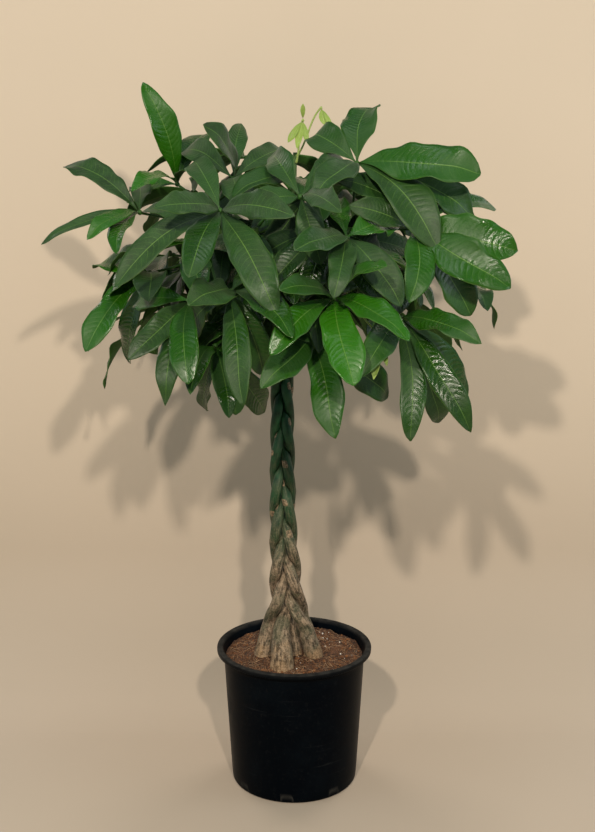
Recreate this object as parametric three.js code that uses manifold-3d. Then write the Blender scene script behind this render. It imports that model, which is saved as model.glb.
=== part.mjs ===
// Potted money tree: five braided stems in a black nursery pot, each ending in a green shoot with
// palmate leaves. Millimetres, +Z up, origin on the floor under the middle of the pot, front towards -Y.
import * as THREE from "three";
import Module from "manifold-3d";

const wasm = await Module();
wasm.setup();

// Pot: a blow-moulded nursery pot of the 11 inch size.
const RIM_RADIUS = 140;
const POT_HEIGHT = 254;
const WALL_TOP_RADIUS = 127.5;
const WALL_FOOT_RADIUS = 114;
const WALL = 2.2;
const LIP_DROP = 8.5;
const LIP_BAND = 9;
const CORNER_RADIUS = 6;
const FLOOR_LIFT = 5;
const FOOT_RING_WIDTH = 16;
const FOOT_PAD_RADIUS = 60;
const POT_SIDES = 40;
const NOTCHES = 8;
const NOTCH_TURN = -6.4;
const NOTCH_WIDTH = 22;
const NOTCH_HEIGHT = 14;
const NOTCH_REACH = 14;

// Clearance left where one piece rests against another.
const SEAT = 0.3;

// Soil: fills the pot to a little below the rim.
const SOIL_TOP = 238;
const SOIL_MOUND = 5;
const SOIL_SIDES = 28;
const SOIL_RINGS = 3;
const SOIL_BUMP = 1.6;

// Braid of five stems.
const STEMS = 5;
const STEM_FOOT = 196;
const STEM_STEP = 22;
const SHOOT_STEP = 28;
const STEM_SIDES = 6;
const STEM_TRIM = 0.4;
const BRAID_START = 300;
const BRAID_END = 820;
const SHOOTS_APART = 905;
const BRAID_PERIOD = 335;
const BRAID_PHASE = -28.5;
const STEM_GAP = 1.2;
const SQUEEZE = 9;
// Heights between which a stem leaves its straight foot and joins the braid.
const LEG_LOW = 215;
const LEG_HIGH = 350;
// Height, radius of one stem, sideways swing and fore-and-aft swing of the braid.
const BRAID = [
  [190, 19, 29, 33],
  [240, 18.2, 28, 32],
  [275, 15.8, 26.5, 30],
  [320, 12.8, 24, 27],
  [360, 11, 20.5, 24],
  [430, 9.9, 16.8, 20.5],
  [500, 9.4, 14.8, 18.5],
  [730, 8.8, 11.4, 15.5],
  [820, 8.5, 11.2, 14.5],
  [870, 7.6, 11.2, 14.5],
  [940, 6.2, 11.2, 14.5],
  [1130, 3.4, 11.2, 14.5],
];
// Middle line of the trunk: height and place.
const TRUNK = [
  [190, -9, -12],
  [344, -13, -8],
  [490, -20, 0],
  [820, -21, 0],
  [1130, -21, 0],
];
// Place of each stem in the order of the braid, and the middle and swelling of its foot.
const STRANDS = [1, 2, 0, 4, 3];
const FEET = [
  [30, 30, 1],
  [36, -18, 1.02],
  [-21, -71, 1.22],
  [-56, -14, 1],
  [2, -14, 0.88],
];
// How strongly a shoot bows outwards, and where it ends.
const SHOOT_BOW = 2.2;
const SHOOTS = [
  [-150, -40, 1040],
  [-62, -125, 1010],
  [2, 25, 1128],
  [105, -80, 1050],
  [55, 125, 1060],
];

// Leaves: stalk, knuckle where the leaflets meet, and blades.
const STALK_RADIUS = 2.1;
const STALK_SIDES = 4;
const STALK_STEPS = 4;
const TOLERANCE = 0.12;
const KNUCKLE = 8;
const YOUNG_KNUCKLE = 5;
const BLADE_THICKNESS = 0.9;
const BLADE_ROOT = 3.2;
const YOUNG_WIDTH = 15;
// Front leaves turn their faces to the light in front of the plant.
const FRONT_LOOK = [-0.05, -0.85, 0.55];
const BLADE_FOLD = 0.2;
const BLADE_WAVE = 0.07;
const BLADE_RIPPLE = 7.5;
// Share of the length and share of the half width at each cross-section of a blade.
const BLADE_OUTLINE = [
  [0, 0.035],
  [0.3, 0.7],
  [0.62, 1],
  [0.88, 0.68],
];
// Space kept between blades of different leaves, and between a blade and a stalk.
const CLEAR = 2.2;

// One leaf a row: name, stem, height of its stalk on the stem, knuckle, and its leaflets, each the
// place of the tip and the width of the blade.
const LEAVES = [
  ["leaf_left_hanging", 0, 905, [-160, -190, 900], [[-245, -300, 825, 43], [-192, -312, 762, 38],
    [-155, -325, 795, 47], [-265, -80, 890, 46]]],
  ["leaf_left_high", 0, 985, [-255, -40, 1030], [[-389, 20, 1113, 50], [-405, -130, 990, 27],
    [-320, -170, 1005, 34], [-280, -180, 980, 37], [-275, 105, 1070, 39], [-135, -135, 1025, 41]]],
  ["leaf_left_top", 0, 1030, [-200, 40, 1075], [[-244, -30, 1240, 44], [-260, -95, 1070, 38],
    [-130, -90, 1095, 42], [-155, 160, 1172, 48], [-303, 175, 1049, 50]]],
  ["leaf_top_left", 2, 1050, [-100, -30, 1085], [[-130, -150, 1170, 46], [-90, 85, 1180, 35],
    [-195, 80, 1135, 45], [-15, 95, 1135, 49], [-70, -185, 1035, 49]]],
  ["leaf_right_top", 3, 1030, [100, -110, 1110], [[128, 0, 1208, 64], [285, -190, 1100, 74],
    [290, -140, 1030, 72], [220, -220, 985, 66], [30, -255, 1070, 52], [25, -30, 1161, 54]]],
  ["leaf_right", 3, 985, [185, -170, 1010], [[341, -220, 979, 74], [336, -60, 1040, 32],
    [328, -250, 927, 66], [280, -180, 875, 58], [177, -280, 912, 52], [89, -215, 1048, 43]]],
  ["leaf_right_low", 3, 905, [165, -200, 875], [[265, -350, 865, 46], [270, -300, 715, 43],
    [175, -315, 705, 39], [245, -135, 685, 44], [295, -75, 715, 50], [80, -350, 815, 46]]],
  ["leaf_front", 1, 950, [60, -250, 910], [[-30, -380, 850, 42], [85, -400, 805, 56],
    [165, -380, 870, 48], [130, -370, 970, 42], [-15, -375, 940, 39], [40, -115, 975, 45]]],
  ["leaf_front_high", 3, 945, [80, -230, 1000], [[60, -360, 930, 39], [159, -315, 909, 51],
    [5, -375, 995, 44], [156, -145, 1022, 55], [50, -90, 1050, 45]]],
  ["leaf_front_low", 1, 880, [30, -200, 845], [[60, -335, 715, 51], [-45, -330, 795, 50],
    [163, -150, 738, 54]]],
  ["leaf_front_left", 1, 915, [-95, -240, 920], [[-75, -370, 770, 43], [-140, -385, 925, 50],
    [0, -385, 878, 45], [-198, -130, 842, 52], [-30, -110, 955, 50],
    [-45, -230, 790, 48]]],
  ["leaf_left_low", 0, 870, [-125, -160, 825], [[-155, -300, 775, 42], [-155, -80, 700, 37],
    [-95, -280, 740, 39], [-45, -90, 700, 47]]],
  ["leaf_middle_left", 1, 970, [-110, -230, 1040], [[-25, -360, 905, 57], [-260, -320, 935, 49],
    [-195, -350, 1050, 42], [-160, -95, 1115, 45], [0, -355, 1040, 45], [-145, -385, 955, 47]]],
  ["leaf_left", 0, 945, [-235, -90, 935], [[-326, -205, 824, 50], [-340, -15, 945, 47],
    [-220, -235, 905, 52], [-292, -20, 756, 47]]],
  ["leaf_middle", 1, 1005, [10, -230, 1060], [[47, -280, 964, 45], [-63, -280, 1047, 42],
    [65, -370, 1045, 39], [-35, -105, 1125, 44], [88, -35, 1115, 44]]],
];

// Young leaves, pale and still folded: the same kind of row.
const YOUNG_LEAVES = [
  ["young_leaf_top_left", 2, 1105, [15, 0, 1180], [[15, -15, 1206, 8], [-10, -30, 1143, 12],
    [5, -32, 1133, 12], [22, -25, 1143, 10]]],
  ["young_leaf_top_right", 2, 1118, [45, 0, 1200], [[50, -20, 1172, 13], [64, -33, 1162, 8],
    [60, -18, 1152, 8]]],
  ["young_leaf_low", 3, 925, [128, -285, 860], [[117, -330, 800, 14], [137, -320, 818, 9]]],
];

// Leaves at the sides and back, placed by rule: stem, height on the stem, direction from the trunk in
// degrees (0 right, 90 back), distance from the trunk and height of the knuckle, droop in degrees.
const BACK_LEAVES = [
  [3, 960, 8, 245, 940, 35],
  [3, 1010, 25, 225, 1030, 20],
  [4, 900, 40, 235, 870, 40],
  [4, 1010, 45, 190, 1070, 15],
  [4, 930, 84, 230, 865, 45],
  [4, 1040, 88, 215, 1060, 18],
  [2, 960, 108, 235, 960, 32],
  [2, 900, 128, 225, 875, 42],
  [2, 1060, 120, 150, 1120, 12],
  [2, 1000, 134, 225, 1055, 20],
  [0, 930, 152, 232, 950, 38],
  [0, 885, 168, 225, 860, 44],
];
// The same kind of row for leaves that fill the inside of the crown.
const INNER_LEAVES = [
  [2, 1030, -75, 80, 1085, 8],
  [3, 940, -40, 140, 990, 25],
  [0, 930, -146, 165, 985, 30],
  [1, 880, -115, 125, 885, 35],
];
const BACK_LEAFLETS = 5;
const BACK_SPREAD = 58;
const BACK_LENGTH = [165, 205];
const BACK_WIDTH = [46, 62];
const SEED = 20261;

// How far a blade may be turned to come clear: lift and swing in degrees, then a shorter blade.
const TRIES = [
  [0, 0], [0, 7], [0, -7], [7, 0], [-7, 0], [7, 9], [7, -9], [-7, 9], [-7, -9], [0, 15], [0, -15],
  [15, 0], [-15, 0], [14, 14], [14, -14], [-14, 14], [-14, -14], [0, 24], [0, -24], [24, 0], [-24, 0],
  [22, 22], [22, -22], [-22, 22], [-22, -22], [34, 0], [-34, 0], [0, 36], [0, -36],
];
const SHORTER = [1, 0.86, 0.72];

const UP = [0, 0, 1];
const add = (a, b) => [a[0] + b[0], a[1] + b[1], a[2] + b[2]];
const sub = (a, b) => [a[0] - b[0], a[1] - b[1], a[2] - b[2]];
const times = (a, k) => [a[0] * k, a[1] * k, a[2] * k];
const dot = (a, b) => a[0] * b[0] + a[1] * b[1] + a[2] * b[2];
const cross = (a, b) => [
  a[1] * b[2] - a[2] * b[1],
  a[2] * b[0] - a[0] * b[2],
  a[0] * b[1] - a[1] * b[0],
];
const size = (a) => Math.sqrt(dot(a, a));
const unit = (a) => times(a, 1 / size(a));
const radians = (degrees) => (degrees * Math.PI) / 180;

// Value of column `column` of a table of rows [height, ...] at height z, smooth between rows.
function along(table, z, column) {
  let i = 0;
  while (i < table.length - 2 && z > table[i + 1][0]) {
    i += 1;
  }
  const t = Math.min(1, Math.max(0, (z - table[i][0]) / (table[i + 1][0] - table[i][0])));
  return table[i][column] + (table[i + 1][column] - table[i][column]) * t;
}

function ease(t) {
  const s = Math.min(1, Math.max(0, t));
  return s * s * (3 - 2 * s);
}

// A draw between 0 and 1 that gives the same series each time.
function makeDraw(seed) {
  let state = seed;
  return () => {
    state = (state * 16807) % 2147483647;
    return state / 2147483647;
  };
}

// Closed solid through rings of equal count, with a flat end at each side.
function loft(rings) {
  const count = rings[0].length;
  const points = rings.flat();
  const faces = [];
  for (let r = 0; r + 1 < rings.length; r += 1) {
    for (let i = 0; i < count; i += 1) {
      const a = r * count + i;
      const b = r * count + ((i + 1) % count);
      faces.push([a, b, b + count], [a, b + count, a + count]);
    }
  }
  const last = (rings.length - 1) * count;
  for (let i = 1; i + 1 < count; i += 1) {
    faces.push([0, i + 1, i], [last, last + i, last + i + 1]);
  }
  return solid(points, faces);
}

// Manifold solid of points and triangles, turned the right way out.
function solid(points, faces) {
  let volume = 0;
  for (const [a, b, c] of faces) {
    volume += dot(points[a], cross(points[b], points[c]));
  }
  const turned = volume < 0 ? faces.map(([a, b, c]) => [a, c, b]) : faces;
  return new wasm.Manifold(new wasm.Mesh({
    numProp: 3,
    vertProperties: new Float32Array(points.flat()),
    triVerts: new Uint32Array(turned.flat()),
  }));
}

// How much of a stem at height z is its own straight foot: 1 in the soil, 0 in the braid.
function footShare(z) {
  return 1 - ease((z - LEG_LOW) / (LEG_HIGH - LEG_LOW));
}

// Middle of stem k at height z: a flat braid seen from above is a figure of eight.
function stemCentre(k, z) {
  const turns = Math.max(0, z - BRAID_START) / BRAID_PERIOD + STRANDS[k] / STEMS;
  const angle = 2 * Math.PI * turns + radians(BRAID_PHASE);
  const inBraid = [
    along(TRUNK, z, 1) + along(BRAID, z, 2) * Math.sin(angle),
    along(TRUNK, z, 2) + along(BRAID, z, 3) * Math.sin(2 * angle),
  ];
  const [x, y] = inBraid.map((q, i) => q + (FEET[k][i] - q) * footShare(z));
  const [endX, endY, endZ] = SHOOTS[k];
  const t = Math.max(0, (z - BRAID_END) / (endZ - BRAID_END));
  const away = t * t * (SHOOT_BOW - (SHOOT_BOW - 1) * t);
  return [x + (endX - x) * away, y + (endY - y) * away, z];
}

// Cross-section of stem k at height z: round, and pressed flat where it meets its neighbours.
function stemSection(k, z, sides, grow) {
  const centre = stemCentre(k, z);
  const radius = along(BRAID, z, 1) * (1 + (FEET[k][2] - 1) * footShare(z));
  const walls = [];
  for (let j = 0; j < STEMS; j += 1) {
    if (j !== k) {
      const gap = sub(stemCentre(j, z), centre);
      walls.push([Math.atan2(gap[1], gap[0]), (size(gap) - STEM_GAP) / 2]);
    }
  }
  const ring = [];
  for (let i = 0; i < sides; i += 1) {
    const angle = (2 * Math.PI * i) / sides;
    let sum = Math.pow(radius, -SQUEEZE);
    for (const [direction, reach] of walls) {
      const facing = Math.cos(angle - direction);
      if (facing > 0.05) {
        sum += Math.pow(facing / reach, SQUEEZE);
      }
    }
    const r = Math.pow(sum, -1 / SQUEEZE) + grow;
    ring.push([centre[0] + r * Math.cos(angle), centre[1] + r * Math.sin(angle), z]);
  }
  return ring;
}

// Stem k from one height to another: close rings in the braid, wider ones below and above it.
function stemSolid(k, grow, from, to) {
  const rings = [stemSection(k, from, STEM_SIDES, grow)];
  let z = STEM_FOOT;
  while (z < to - SHOOT_STEP / 2) {
    if (z > from) {
      rings.push(stemSection(k, z, STEM_SIDES, grow));
    }
    z += z >= SOIL_TOP && z < SHOOTS_APART ? STEM_STEP : SHOOT_STEP;
  }
  rings.push(stemSection(k, to, STEM_SIDES, grow));
  return loft(rings);
}

// Rise of a stalk against its way out, and the reach of its two bends as shares of its length.
const STALK_RISE = 0.9;
const STALK_BENDS = [0.34, 0.3];

// Points of a leaf stalk from its stem to the knuckle: it leaves upwards and arches over.
function stalkPath(stem, height, knuckle) {
  const start = stemCentre(stem, height);
  const way = sub(knuckle, start);
  const length = size(way);
  const out = unit([way[0], way[1], 0.0001]);
  const leaving = unit(add(out, times(UP, STALK_RISE)));
  const arriving = unit(add(out, times(UP, (STALK_RISE * way[2]) / length)));
  const first = add(start, times(leaving, length * STALK_BENDS[0]));
  const last = sub(knuckle, times(arriving, length * STALK_BENDS[1]));
  const path = [];
  for (let i = 0; i <= STALK_STEPS; i += 1) {
    const t = i / STALK_STEPS;
    const s = 1 - t;
    let p = times(start, s * s * s);
    p = add(p, times(first, 3 * s * s * t));
    p = add(p, times(last, 3 * s * t * t));
    path.push(add(p, times(knuckle, t * t * t)));
  }
  return path;
}

function tube(path, radius, sides) {
  const rings = path.map((p, i) => {
    const next = path[Math.min(path.length - 1, i + 1)];
    const last = path[Math.max(0, i - 1)];
    const ahead = unit(sub(next, last));
    const side = unit(cross(ahead, Math.abs(ahead[2]) > 0.95 ? [1, 0, 0] : UP));
    const top = cross(side, ahead);
    const ring = [];
    for (let j = 0; j < sides; j += 1) {
      const angle = (2 * Math.PI * j) / sides;
      ring.push(add(p, add(times(side, radius * Math.cos(angle)), times(top, radius * Math.sin(angle)))));
    }
    return ring;
  });
  return loft(rings);
}

// A leaflet: root, tip, width, the way its upper face looks, arch as a share of the length, roll and
// the phase of its waved edge.
function makeLeaflet(root, tip, width, facing, arch, roll, phase) {
  const chord = unit(sub(tip, root));
  const normal = unit(sub(facing, times(chord, dot(facing, chord))));
  const side = cross(chord, normal);
  const turned = add(times(normal, Math.cos(roll)), times(side, Math.sin(roll)));
  return { root, tip, width, arch, normal: turned, side: cross(chord, turned), phase };
}

// Middle line of a leaflet at share u of its length.
function bladeMiddle(leaflet, u) {
  const way = sub(leaflet.tip, leaflet.root);
  const rise = leaflet.arch * size(way) * Math.sin(Math.PI * Math.pow(u, 0.85));
  return add(add(leaflet.root, times(way, u)), times(leaflet.normal, rise));
}

// Left edge, midrib and right edge of each cross-section, then the tip; `grow` widens the outline.
function bladeRows(leaflet, grow) {
  const rows = BLADE_OUTLINE.map(([u, share]) => {
    const middle = bladeMiddle(leaflet, u);
    const tangent = unit(sub(bladeMiddle(leaflet, u + 0.02), bladeMiddle(leaflet, Math.max(0, u - 0.02))));
    const across = leaflet.side;
    const up = unit(cross(tangent, times(across, -1)));
    const half = (share * leaflet.width) / 2 + grow;
    return [-1, 0, 1].map((hand) => {
      const swing = Math.sin(BLADE_RIPPLE * u + leaflet.phase + hand);
      const wave = hand * hand * swing * BLADE_WAVE * leaflet.width * share;
      const lift = Math.abs(hand) * BLADE_FOLD * half + wave;
      const point = add(add(middle, times(across, hand * half)), times(up, lift));
      return { point, up };
    });
  });
  const tip = bladeMiddle(leaflet, 1);
  const end = rows[rows.length - 1][1].up;
  return { rows, tip: { point: add(tip, times(unit(sub(leaflet.tip, leaflet.root)), grow)), up: end } };
}

// Triangles of one face of a blade, as indices into the list [left, middle, right, ..., tip].
function bladeFaces(count) {
  const faces = [];
  for (let r = 0; r + 1 < count; r += 1) {
    const a = 3 * r;
    faces.push([a, a + 1, a + 4], [a, a + 4, a + 3], [a + 1, a + 2, a + 4], [a + 2, a + 5, a + 4]);
  }
  const last = 3 * (count - 1);
  faces.push([last, last + 1, 3 * count], [last + 1, last + 2, 3 * count]);
  return faces;
}

function bladeSolid(leaflet) {
  const { rows, tip } = bladeRows(leaflet, 0);
  const flat = [...rows.flat(), tip];
  const half = BLADE_THICKNESS / 2;
  const upper = flat.map((q) => add(q.point, times(q.up, q === tip ? 0 : half)));
  const lower = flat.map((q) => sub(q.point, times(q.up, half)));
  const n = flat.length;
  const end = n - 1;
  const below = (i) => (i === end ? end : i + n);
  const faces = bladeFaces(rows.length);
  const under = faces.map(([a, b, c]) => [below(a), below(c), below(b)]);
  const rim = [0];
  for (let r = 1; r < rows.length; r += 1) {
    rim.push(3 * r);
  }
  rim.push(end);
  for (let r = rows.length - 1; r >= 0; r -= 1) {
    rim.push(3 * r + 2);
  }
  rim.push(1);
  const edge = [];
  rim.forEach((a, i) => {
    const b = rim[(i + 1) % rim.length];
    edge.push([a, b, below(b)], [a, below(b), below(a)]);
  });
  const closed = edge.filter((face) => new Set(face).size === 3);
  return solid([...upper, ...lower.slice(0, end)], [...faces, ...under, ...closed]);
}

// What a blade is tested with: its layers of triangles, its edges and the box round them.
function bladeProbe(leaflet) {
  const { rows, tip } = bladeRows(leaflet, CLEAR);
  const flat = [...rows.flat(), tip];
  const faces = bladeFaces(rows.length);
  const layers = [];
  for (const shift of [-CLEAR, 0, CLEAR]) {
    const moved = flat.map((q) => add(q.point, times(q.up, shift)));
    for (const [a, b, c] of faces) {
      layers.push([moved[a], moved[b], moved[c]]);
    }
  }
  const lines = [];
  for (const [a, b, c] of faces) {
    lines.push([flat[a].point, flat[b].point], [flat[b].point, flat[c].point]);
    lines.push([flat[c].point, flat[a].point]);
  }
  return { layers, lines, box: boxOf(layers.flat()) };
}

function boxOf(points) {
  const low = [0, 1, 2].map((i) => Math.min(...points.map((p) => p[i])) - 1);
  const high = [0, 1, 2].map((i) => Math.max(...points.map((p) => p[i])) + 1);
  return [low, high];
}

function boxesMeet(a, b) {
  return [0, 1, 2].every((i) => a[0][i] <= b[1][i] && b[0][i] <= a[1][i]);
}

// Whether the line from p to q passes through the triangle a, b, c.
function pierces(p, q, [a, b, c]) {
  const way = sub(q, p);
  const ab = sub(b, a);
  const ac = sub(c, a);
  const h = cross(way, ac);
  const det = dot(ab, h);
  if (Math.abs(det) < 1e-9) {
    return false;
  }
  const s = sub(p, a);
  const u = dot(s, h) / det;
  const g = cross(s, ab);
  const v = dot(way, g) / det;
  const t = dot(ac, g) / det;
  return u >= 0 && v >= 0 && u + v <= 1 && t >= 0 && t <= 1;
}

function meets(a, b) {
  if (!boxesMeet(a.box, b.box)) {
    return false;
  }
  const through = (lines, layers) => lines.some(([p, q]) => layers.some((face) => pierces(p, q, face)));
  return through(a.lines, b.layers) || through(b.lines, a.layers);
}

// Probe of a stem or stalk: lines along its middle and along its skin.
function rodProbe(path, radius) {
  const lines = [];
  const shifts = [[0, 0, 0], [1, 0, 0], [-1, 0, 0], [0, 1, 0], [0, -1, 0], [0, 0, 1], [0, 0, -1]];
  for (let i = 0; i + 1 < path.length; i += 1) {
    for (const shift of shifts) {
      const off = times(shift, radius);
      lines.push([add(path[i], off), add(path[i + 1], off)]);
    }
  }
  return { layers: [], lines, box: boxOf(lines.flat()) };
}

// Chord of a blade turned by `lift` in its upright plane and by `swing` sideways, in degrees.
function turnTip(root, tip, lift, swing, scale) {
  const way = sub(tip, root);
  const length = size(way) * scale;
  const flat = Math.sqrt(way[0] * way[0] + way[1] * way[1]);
  const height = Math.atan2(way[2], flat) + radians(lift);
  const around = Math.atan2(way[1], way[0]) + radians(swing);
  const out = Math.cos(height) * length;
  return add(root, [out * Math.cos(around), out * Math.sin(around), Math.sin(height) * length]);
}

// Tips of a leaf placed by rule: leaflets spread like fingers round the knuckle and drooping.
function ruleTips(knuckle, direction, droop, draw) {
  const tips = [];
  for (let i = 0; i < BACK_LEAFLETS; i += 1) {
    const spread = (i - (BACK_LEAFLETS - 1) / 2) * BACK_SPREAD + (draw() - 0.5) * 12;
    const side = Math.abs(spread) / 150;
    const around = radians(direction + spread);
    const height = -radians(droop * (1 - 0.75 * side) + (draw() - 0.5) * 14);
    const longest = BACK_LENGTH[0] + (BACK_LENGTH[1] - BACK_LENGTH[0]) * draw();
    const length = longest * (1 - 0.22 * side);
    const width = BACK_WIDTH[0] + (BACK_WIDTH[1] - BACK_WIDTH[0]) * draw();
    const out = Math.cos(height) * length;
    const reach = [out * Math.cos(around), out * Math.sin(around), Math.sin(height) * length];
    tips.push([...add(knuckle, reach), width * (1 - 0.15 * side)]);
  }
  return tips;
}

// All leaves as {name, stem, path, knuckle, leaflets}, each blade turned until it clears the others.
function placeLeaves() {
  const draw = makeDraw(SEED);
  const rows = [...LEAVES, ...YOUNG_LEAVES];
  const byRule = (kind) => ([stem, height, direction, reach, level, droop], i) => {
    const around = radians(direction);
    const knuckle = [reach * Math.cos(around) - 10, reach * Math.sin(around) - 10, level];
    rows.push([`${kind}_${i + 1}`, stem, height, knuckle, ruleTips(knuckle, direction, droop, draw)]);
  };
  BACK_LEAVES.forEach(byRule("leaf_back"));
  INNER_LEAVES.forEach(byRule("leaf_inner"));
  const leaves = rows.map(([name, stem, height, knuckle, tips]) => {
    return { name, stem, path: stalkPath(stem, height, knuckle), knuckle, tips, leaflets: [] };
  });
  const rods = leaves.map((leaf) => ({ ...rodProbe(leaf.path, STALK_RADIUS + 1), leaf }));
  for (let k = 0; k < STEMS; k += 1) {
    for (let z = 700; z < SHOOTS[k][2]; z += 30) {
      const top = Math.min(SHOOTS[k][2], z + 30);
      rods.push(rodProbe([stemCentre(k, z), stemCentre(k, top)], along(BRAID, z, 1) + 1));
    }
  }
  const placed = [];
  let dropped = 0;
  for (const leaf of leaves) {
    for (const [x, y, z, width] of leaf.tips) {
      const young = width < YOUNG_WIDTH;
      const arch = (young ? 0.02 : 0.07) + 0.06 * draw();
      const roll = radians((draw() - 0.5) * (young ? 10 : 34));
      const phase = draw() * 6.2;
      const facing = lookOf(leaf);
      const found = findPlace(leaf, [x, y, z], width, facing, arch, roll, phase, rods, placed);
      if (found) {
        leaf.leaflets.push(found.leaflet);
        placed.push({ ...found.probe, leaf });
      } else {
        dropped += 1;
      }
    }
  }
  if (dropped > 0) {
    console.log("leaflets left out:", dropped);
  }
  return leaves;
}

// The way the upper faces of a leaf look: up and outwards, and for the front leaves towards the light
// in front of the plant.
function lookOf(leaf) {
  if (leaf.name.startsWith("leaf_back") || leaf.name.startsWith("leaf_inner")) {
    const out = unit([leaf.knuckle[0] - TRUNK[3][1], leaf.knuckle[1], 0.001]);
    return add(times(UP, 0.8), times(out, 0.6));
  }
  return FRONT_LOOK;
}

function findPlace(leaf, tip, width, facing, arch, roll, phase, rods, placed) {
  for (const scale of SHORTER) {
    for (const [lift, swing] of TRIES) {
      const turned = turnTip(leaf.knuckle, tip, lift, swing, scale);
      const root = add(leaf.knuckle, times(unit(sub(turned, leaf.knuckle)), BLADE_ROOT));
      const wide = width * Math.sqrt(scale);
      const leaflet = makeLeaflet(root, turned, wide, facing, arch, roll, phase);
      const probe = bladeProbe(leaflet);
      const others = [...rods, ...placed].filter((q) => q.leaf !== leaf && boxesMeet(q.box, probe.box));
      if (!others.some((q) => meets(probe, q))) {
        return { leaflet, probe };
      }
    }
  }
  return null;
}

function leafSolid(leaf, stems) {
  const knob = leaf.leaflets[0].width < YOUNG_WIDTH ? YOUNG_KNUCKLE : KNUCKLE;
  const box = new THREE.BoxGeometry(knob, knob, knob);
  const whole = [tube(leaf.path, STALK_RADIUS, STALK_SIDES), fromGeometry(box, leaf.knuckle)];
  for (const leaflet of leaf.leaflets) {
    whole.push(bladeSolid(leaflet));
  }
  const joined = wasm.Manifold.union(whole).subtract(stems[leaf.stem]);
  return biggest(joined.simplify(TOLERANCE));
}

function biggest(shape) {
  const bodies = shape.decompose();
  bodies.sort((a, b) => b.volume() - a.volume());
  return bodies[0];
}

// Manifold solid of a three.js geometry moved to `place`.
function fromGeometry(geometry, place) {
  const position = geometry.getAttribute("position");
  const keys = new Map();
  const points = [];
  const index = [];
  for (let i = 0; i < position.count; i += 1) {
    const p = [position.getX(i), position.getY(i), position.getZ(i)];
    const key = p.map((q) => Math.round(q * 1e4)).join(" ");
    if (!keys.has(key)) {
      keys.set(key, points.length);
      points.push(add(p, place));
    }
    index.push(keys.get(key));
  }
  const order = geometry.index ? [...geometry.index.array].map((i) => index[i]) : index;
  const faces = [];
  for (let i = 0; i < order.length; i += 3) {
    const face = [order[i], order[i + 1], order[i + 2]];
    if (new Set(face).size === 3) {
      faces.push(face);
    }
  }
  return solid(points, faces);
}

// Solid of revolution about the Z axis from a closed outline of [radius, height] points.
function turned(outline, sides) {
  const points = outline.map(([r, z]) => new THREE.Vector2(r, z));
  const geometry = new THREE.LatheGeometry(points, sides);
  geometry.rotateX(Math.PI / 2);
  return fromGeometry(geometry, [0, 0, 0]);
}

// Outer and inner radius of the tapered wall of the pot at height z.
function wallAt(z) {
  return WALL_FOOT_RADIUS + ((WALL_TOP_RADIUS - WALL_FOOT_RADIUS) * z) / (POT_HEIGHT - LIP_BAND);
}

function insideAt(z) {
  const low = FLOOR_LIFT + WALL;
  const share = (z - low) / (POT_HEIGHT - LIP_BAND - low);
  const foot = WALL_FOOT_RADIUS - CORNER_RADIUS;
  return foot + (WALL_TOP_RADIUS - WALL - foot) * share;
}

function makePot() {
  const top = POT_HEIGHT;
  const outline = [
    [0, 0],
    [FOOT_PAD_RADIUS, 0],
    [FOOT_PAD_RADIUS + 4, FLOOR_LIFT],
    [WALL_FOOT_RADIUS - FOOT_RING_WIDTH, FLOOR_LIFT],
    [WALL_FOOT_RADIUS - FOOT_RING_WIDTH + 4, 0],
    [WALL_FOOT_RADIUS - CORNER_RADIUS, 0],
    [wallAt(CORNER_RADIUS), CORNER_RADIUS],
    [wallAt(top - LIP_BAND), top - LIP_BAND],
    [RIM_RADIUS - LIP_BAND, top - WALL],
    [RIM_RADIUS - WALL, top - WALL],
    [RIM_RADIUS - WALL, top - LIP_DROP],
    [RIM_RADIUS, top - LIP_DROP],
    [RIM_RADIUS, top - WALL],
    [RIM_RADIUS - WALL, top],
    [RIM_RADIUS - LIP_BAND, top],
    [insideAt(top - LIP_BAND), top - LIP_BAND],
    [insideAt(FLOOR_LIFT + WALL), FLOOR_LIFT + WALL],
    [FOOT_PAD_RADIUS + 2, FLOOR_LIFT + WALL],
    [FOOT_PAD_RADIUS - 2, WALL],
    [0, WALL],
  ];
  let pot = turned(outline, POT_SIDES);
  for (let i = 0; i < NOTCHES; i += 1) {
    const cutter = new THREE.BoxGeometry(NOTCH_WIDTH, 2 * NOTCH_REACH, NOTCH_HEIGHT + 2);
    cutter.translate(0, -WALL_FOOT_RADIUS + 1, NOTCH_HEIGHT / 2 - 1);
    cutter.rotateZ(radians(NOTCH_TURN + (360 * i) / NOTCHES));
    pot = pot.subtract(fromGeometry(cutter, [0, 0, 0]));
  }
  return pot;
}

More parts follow.
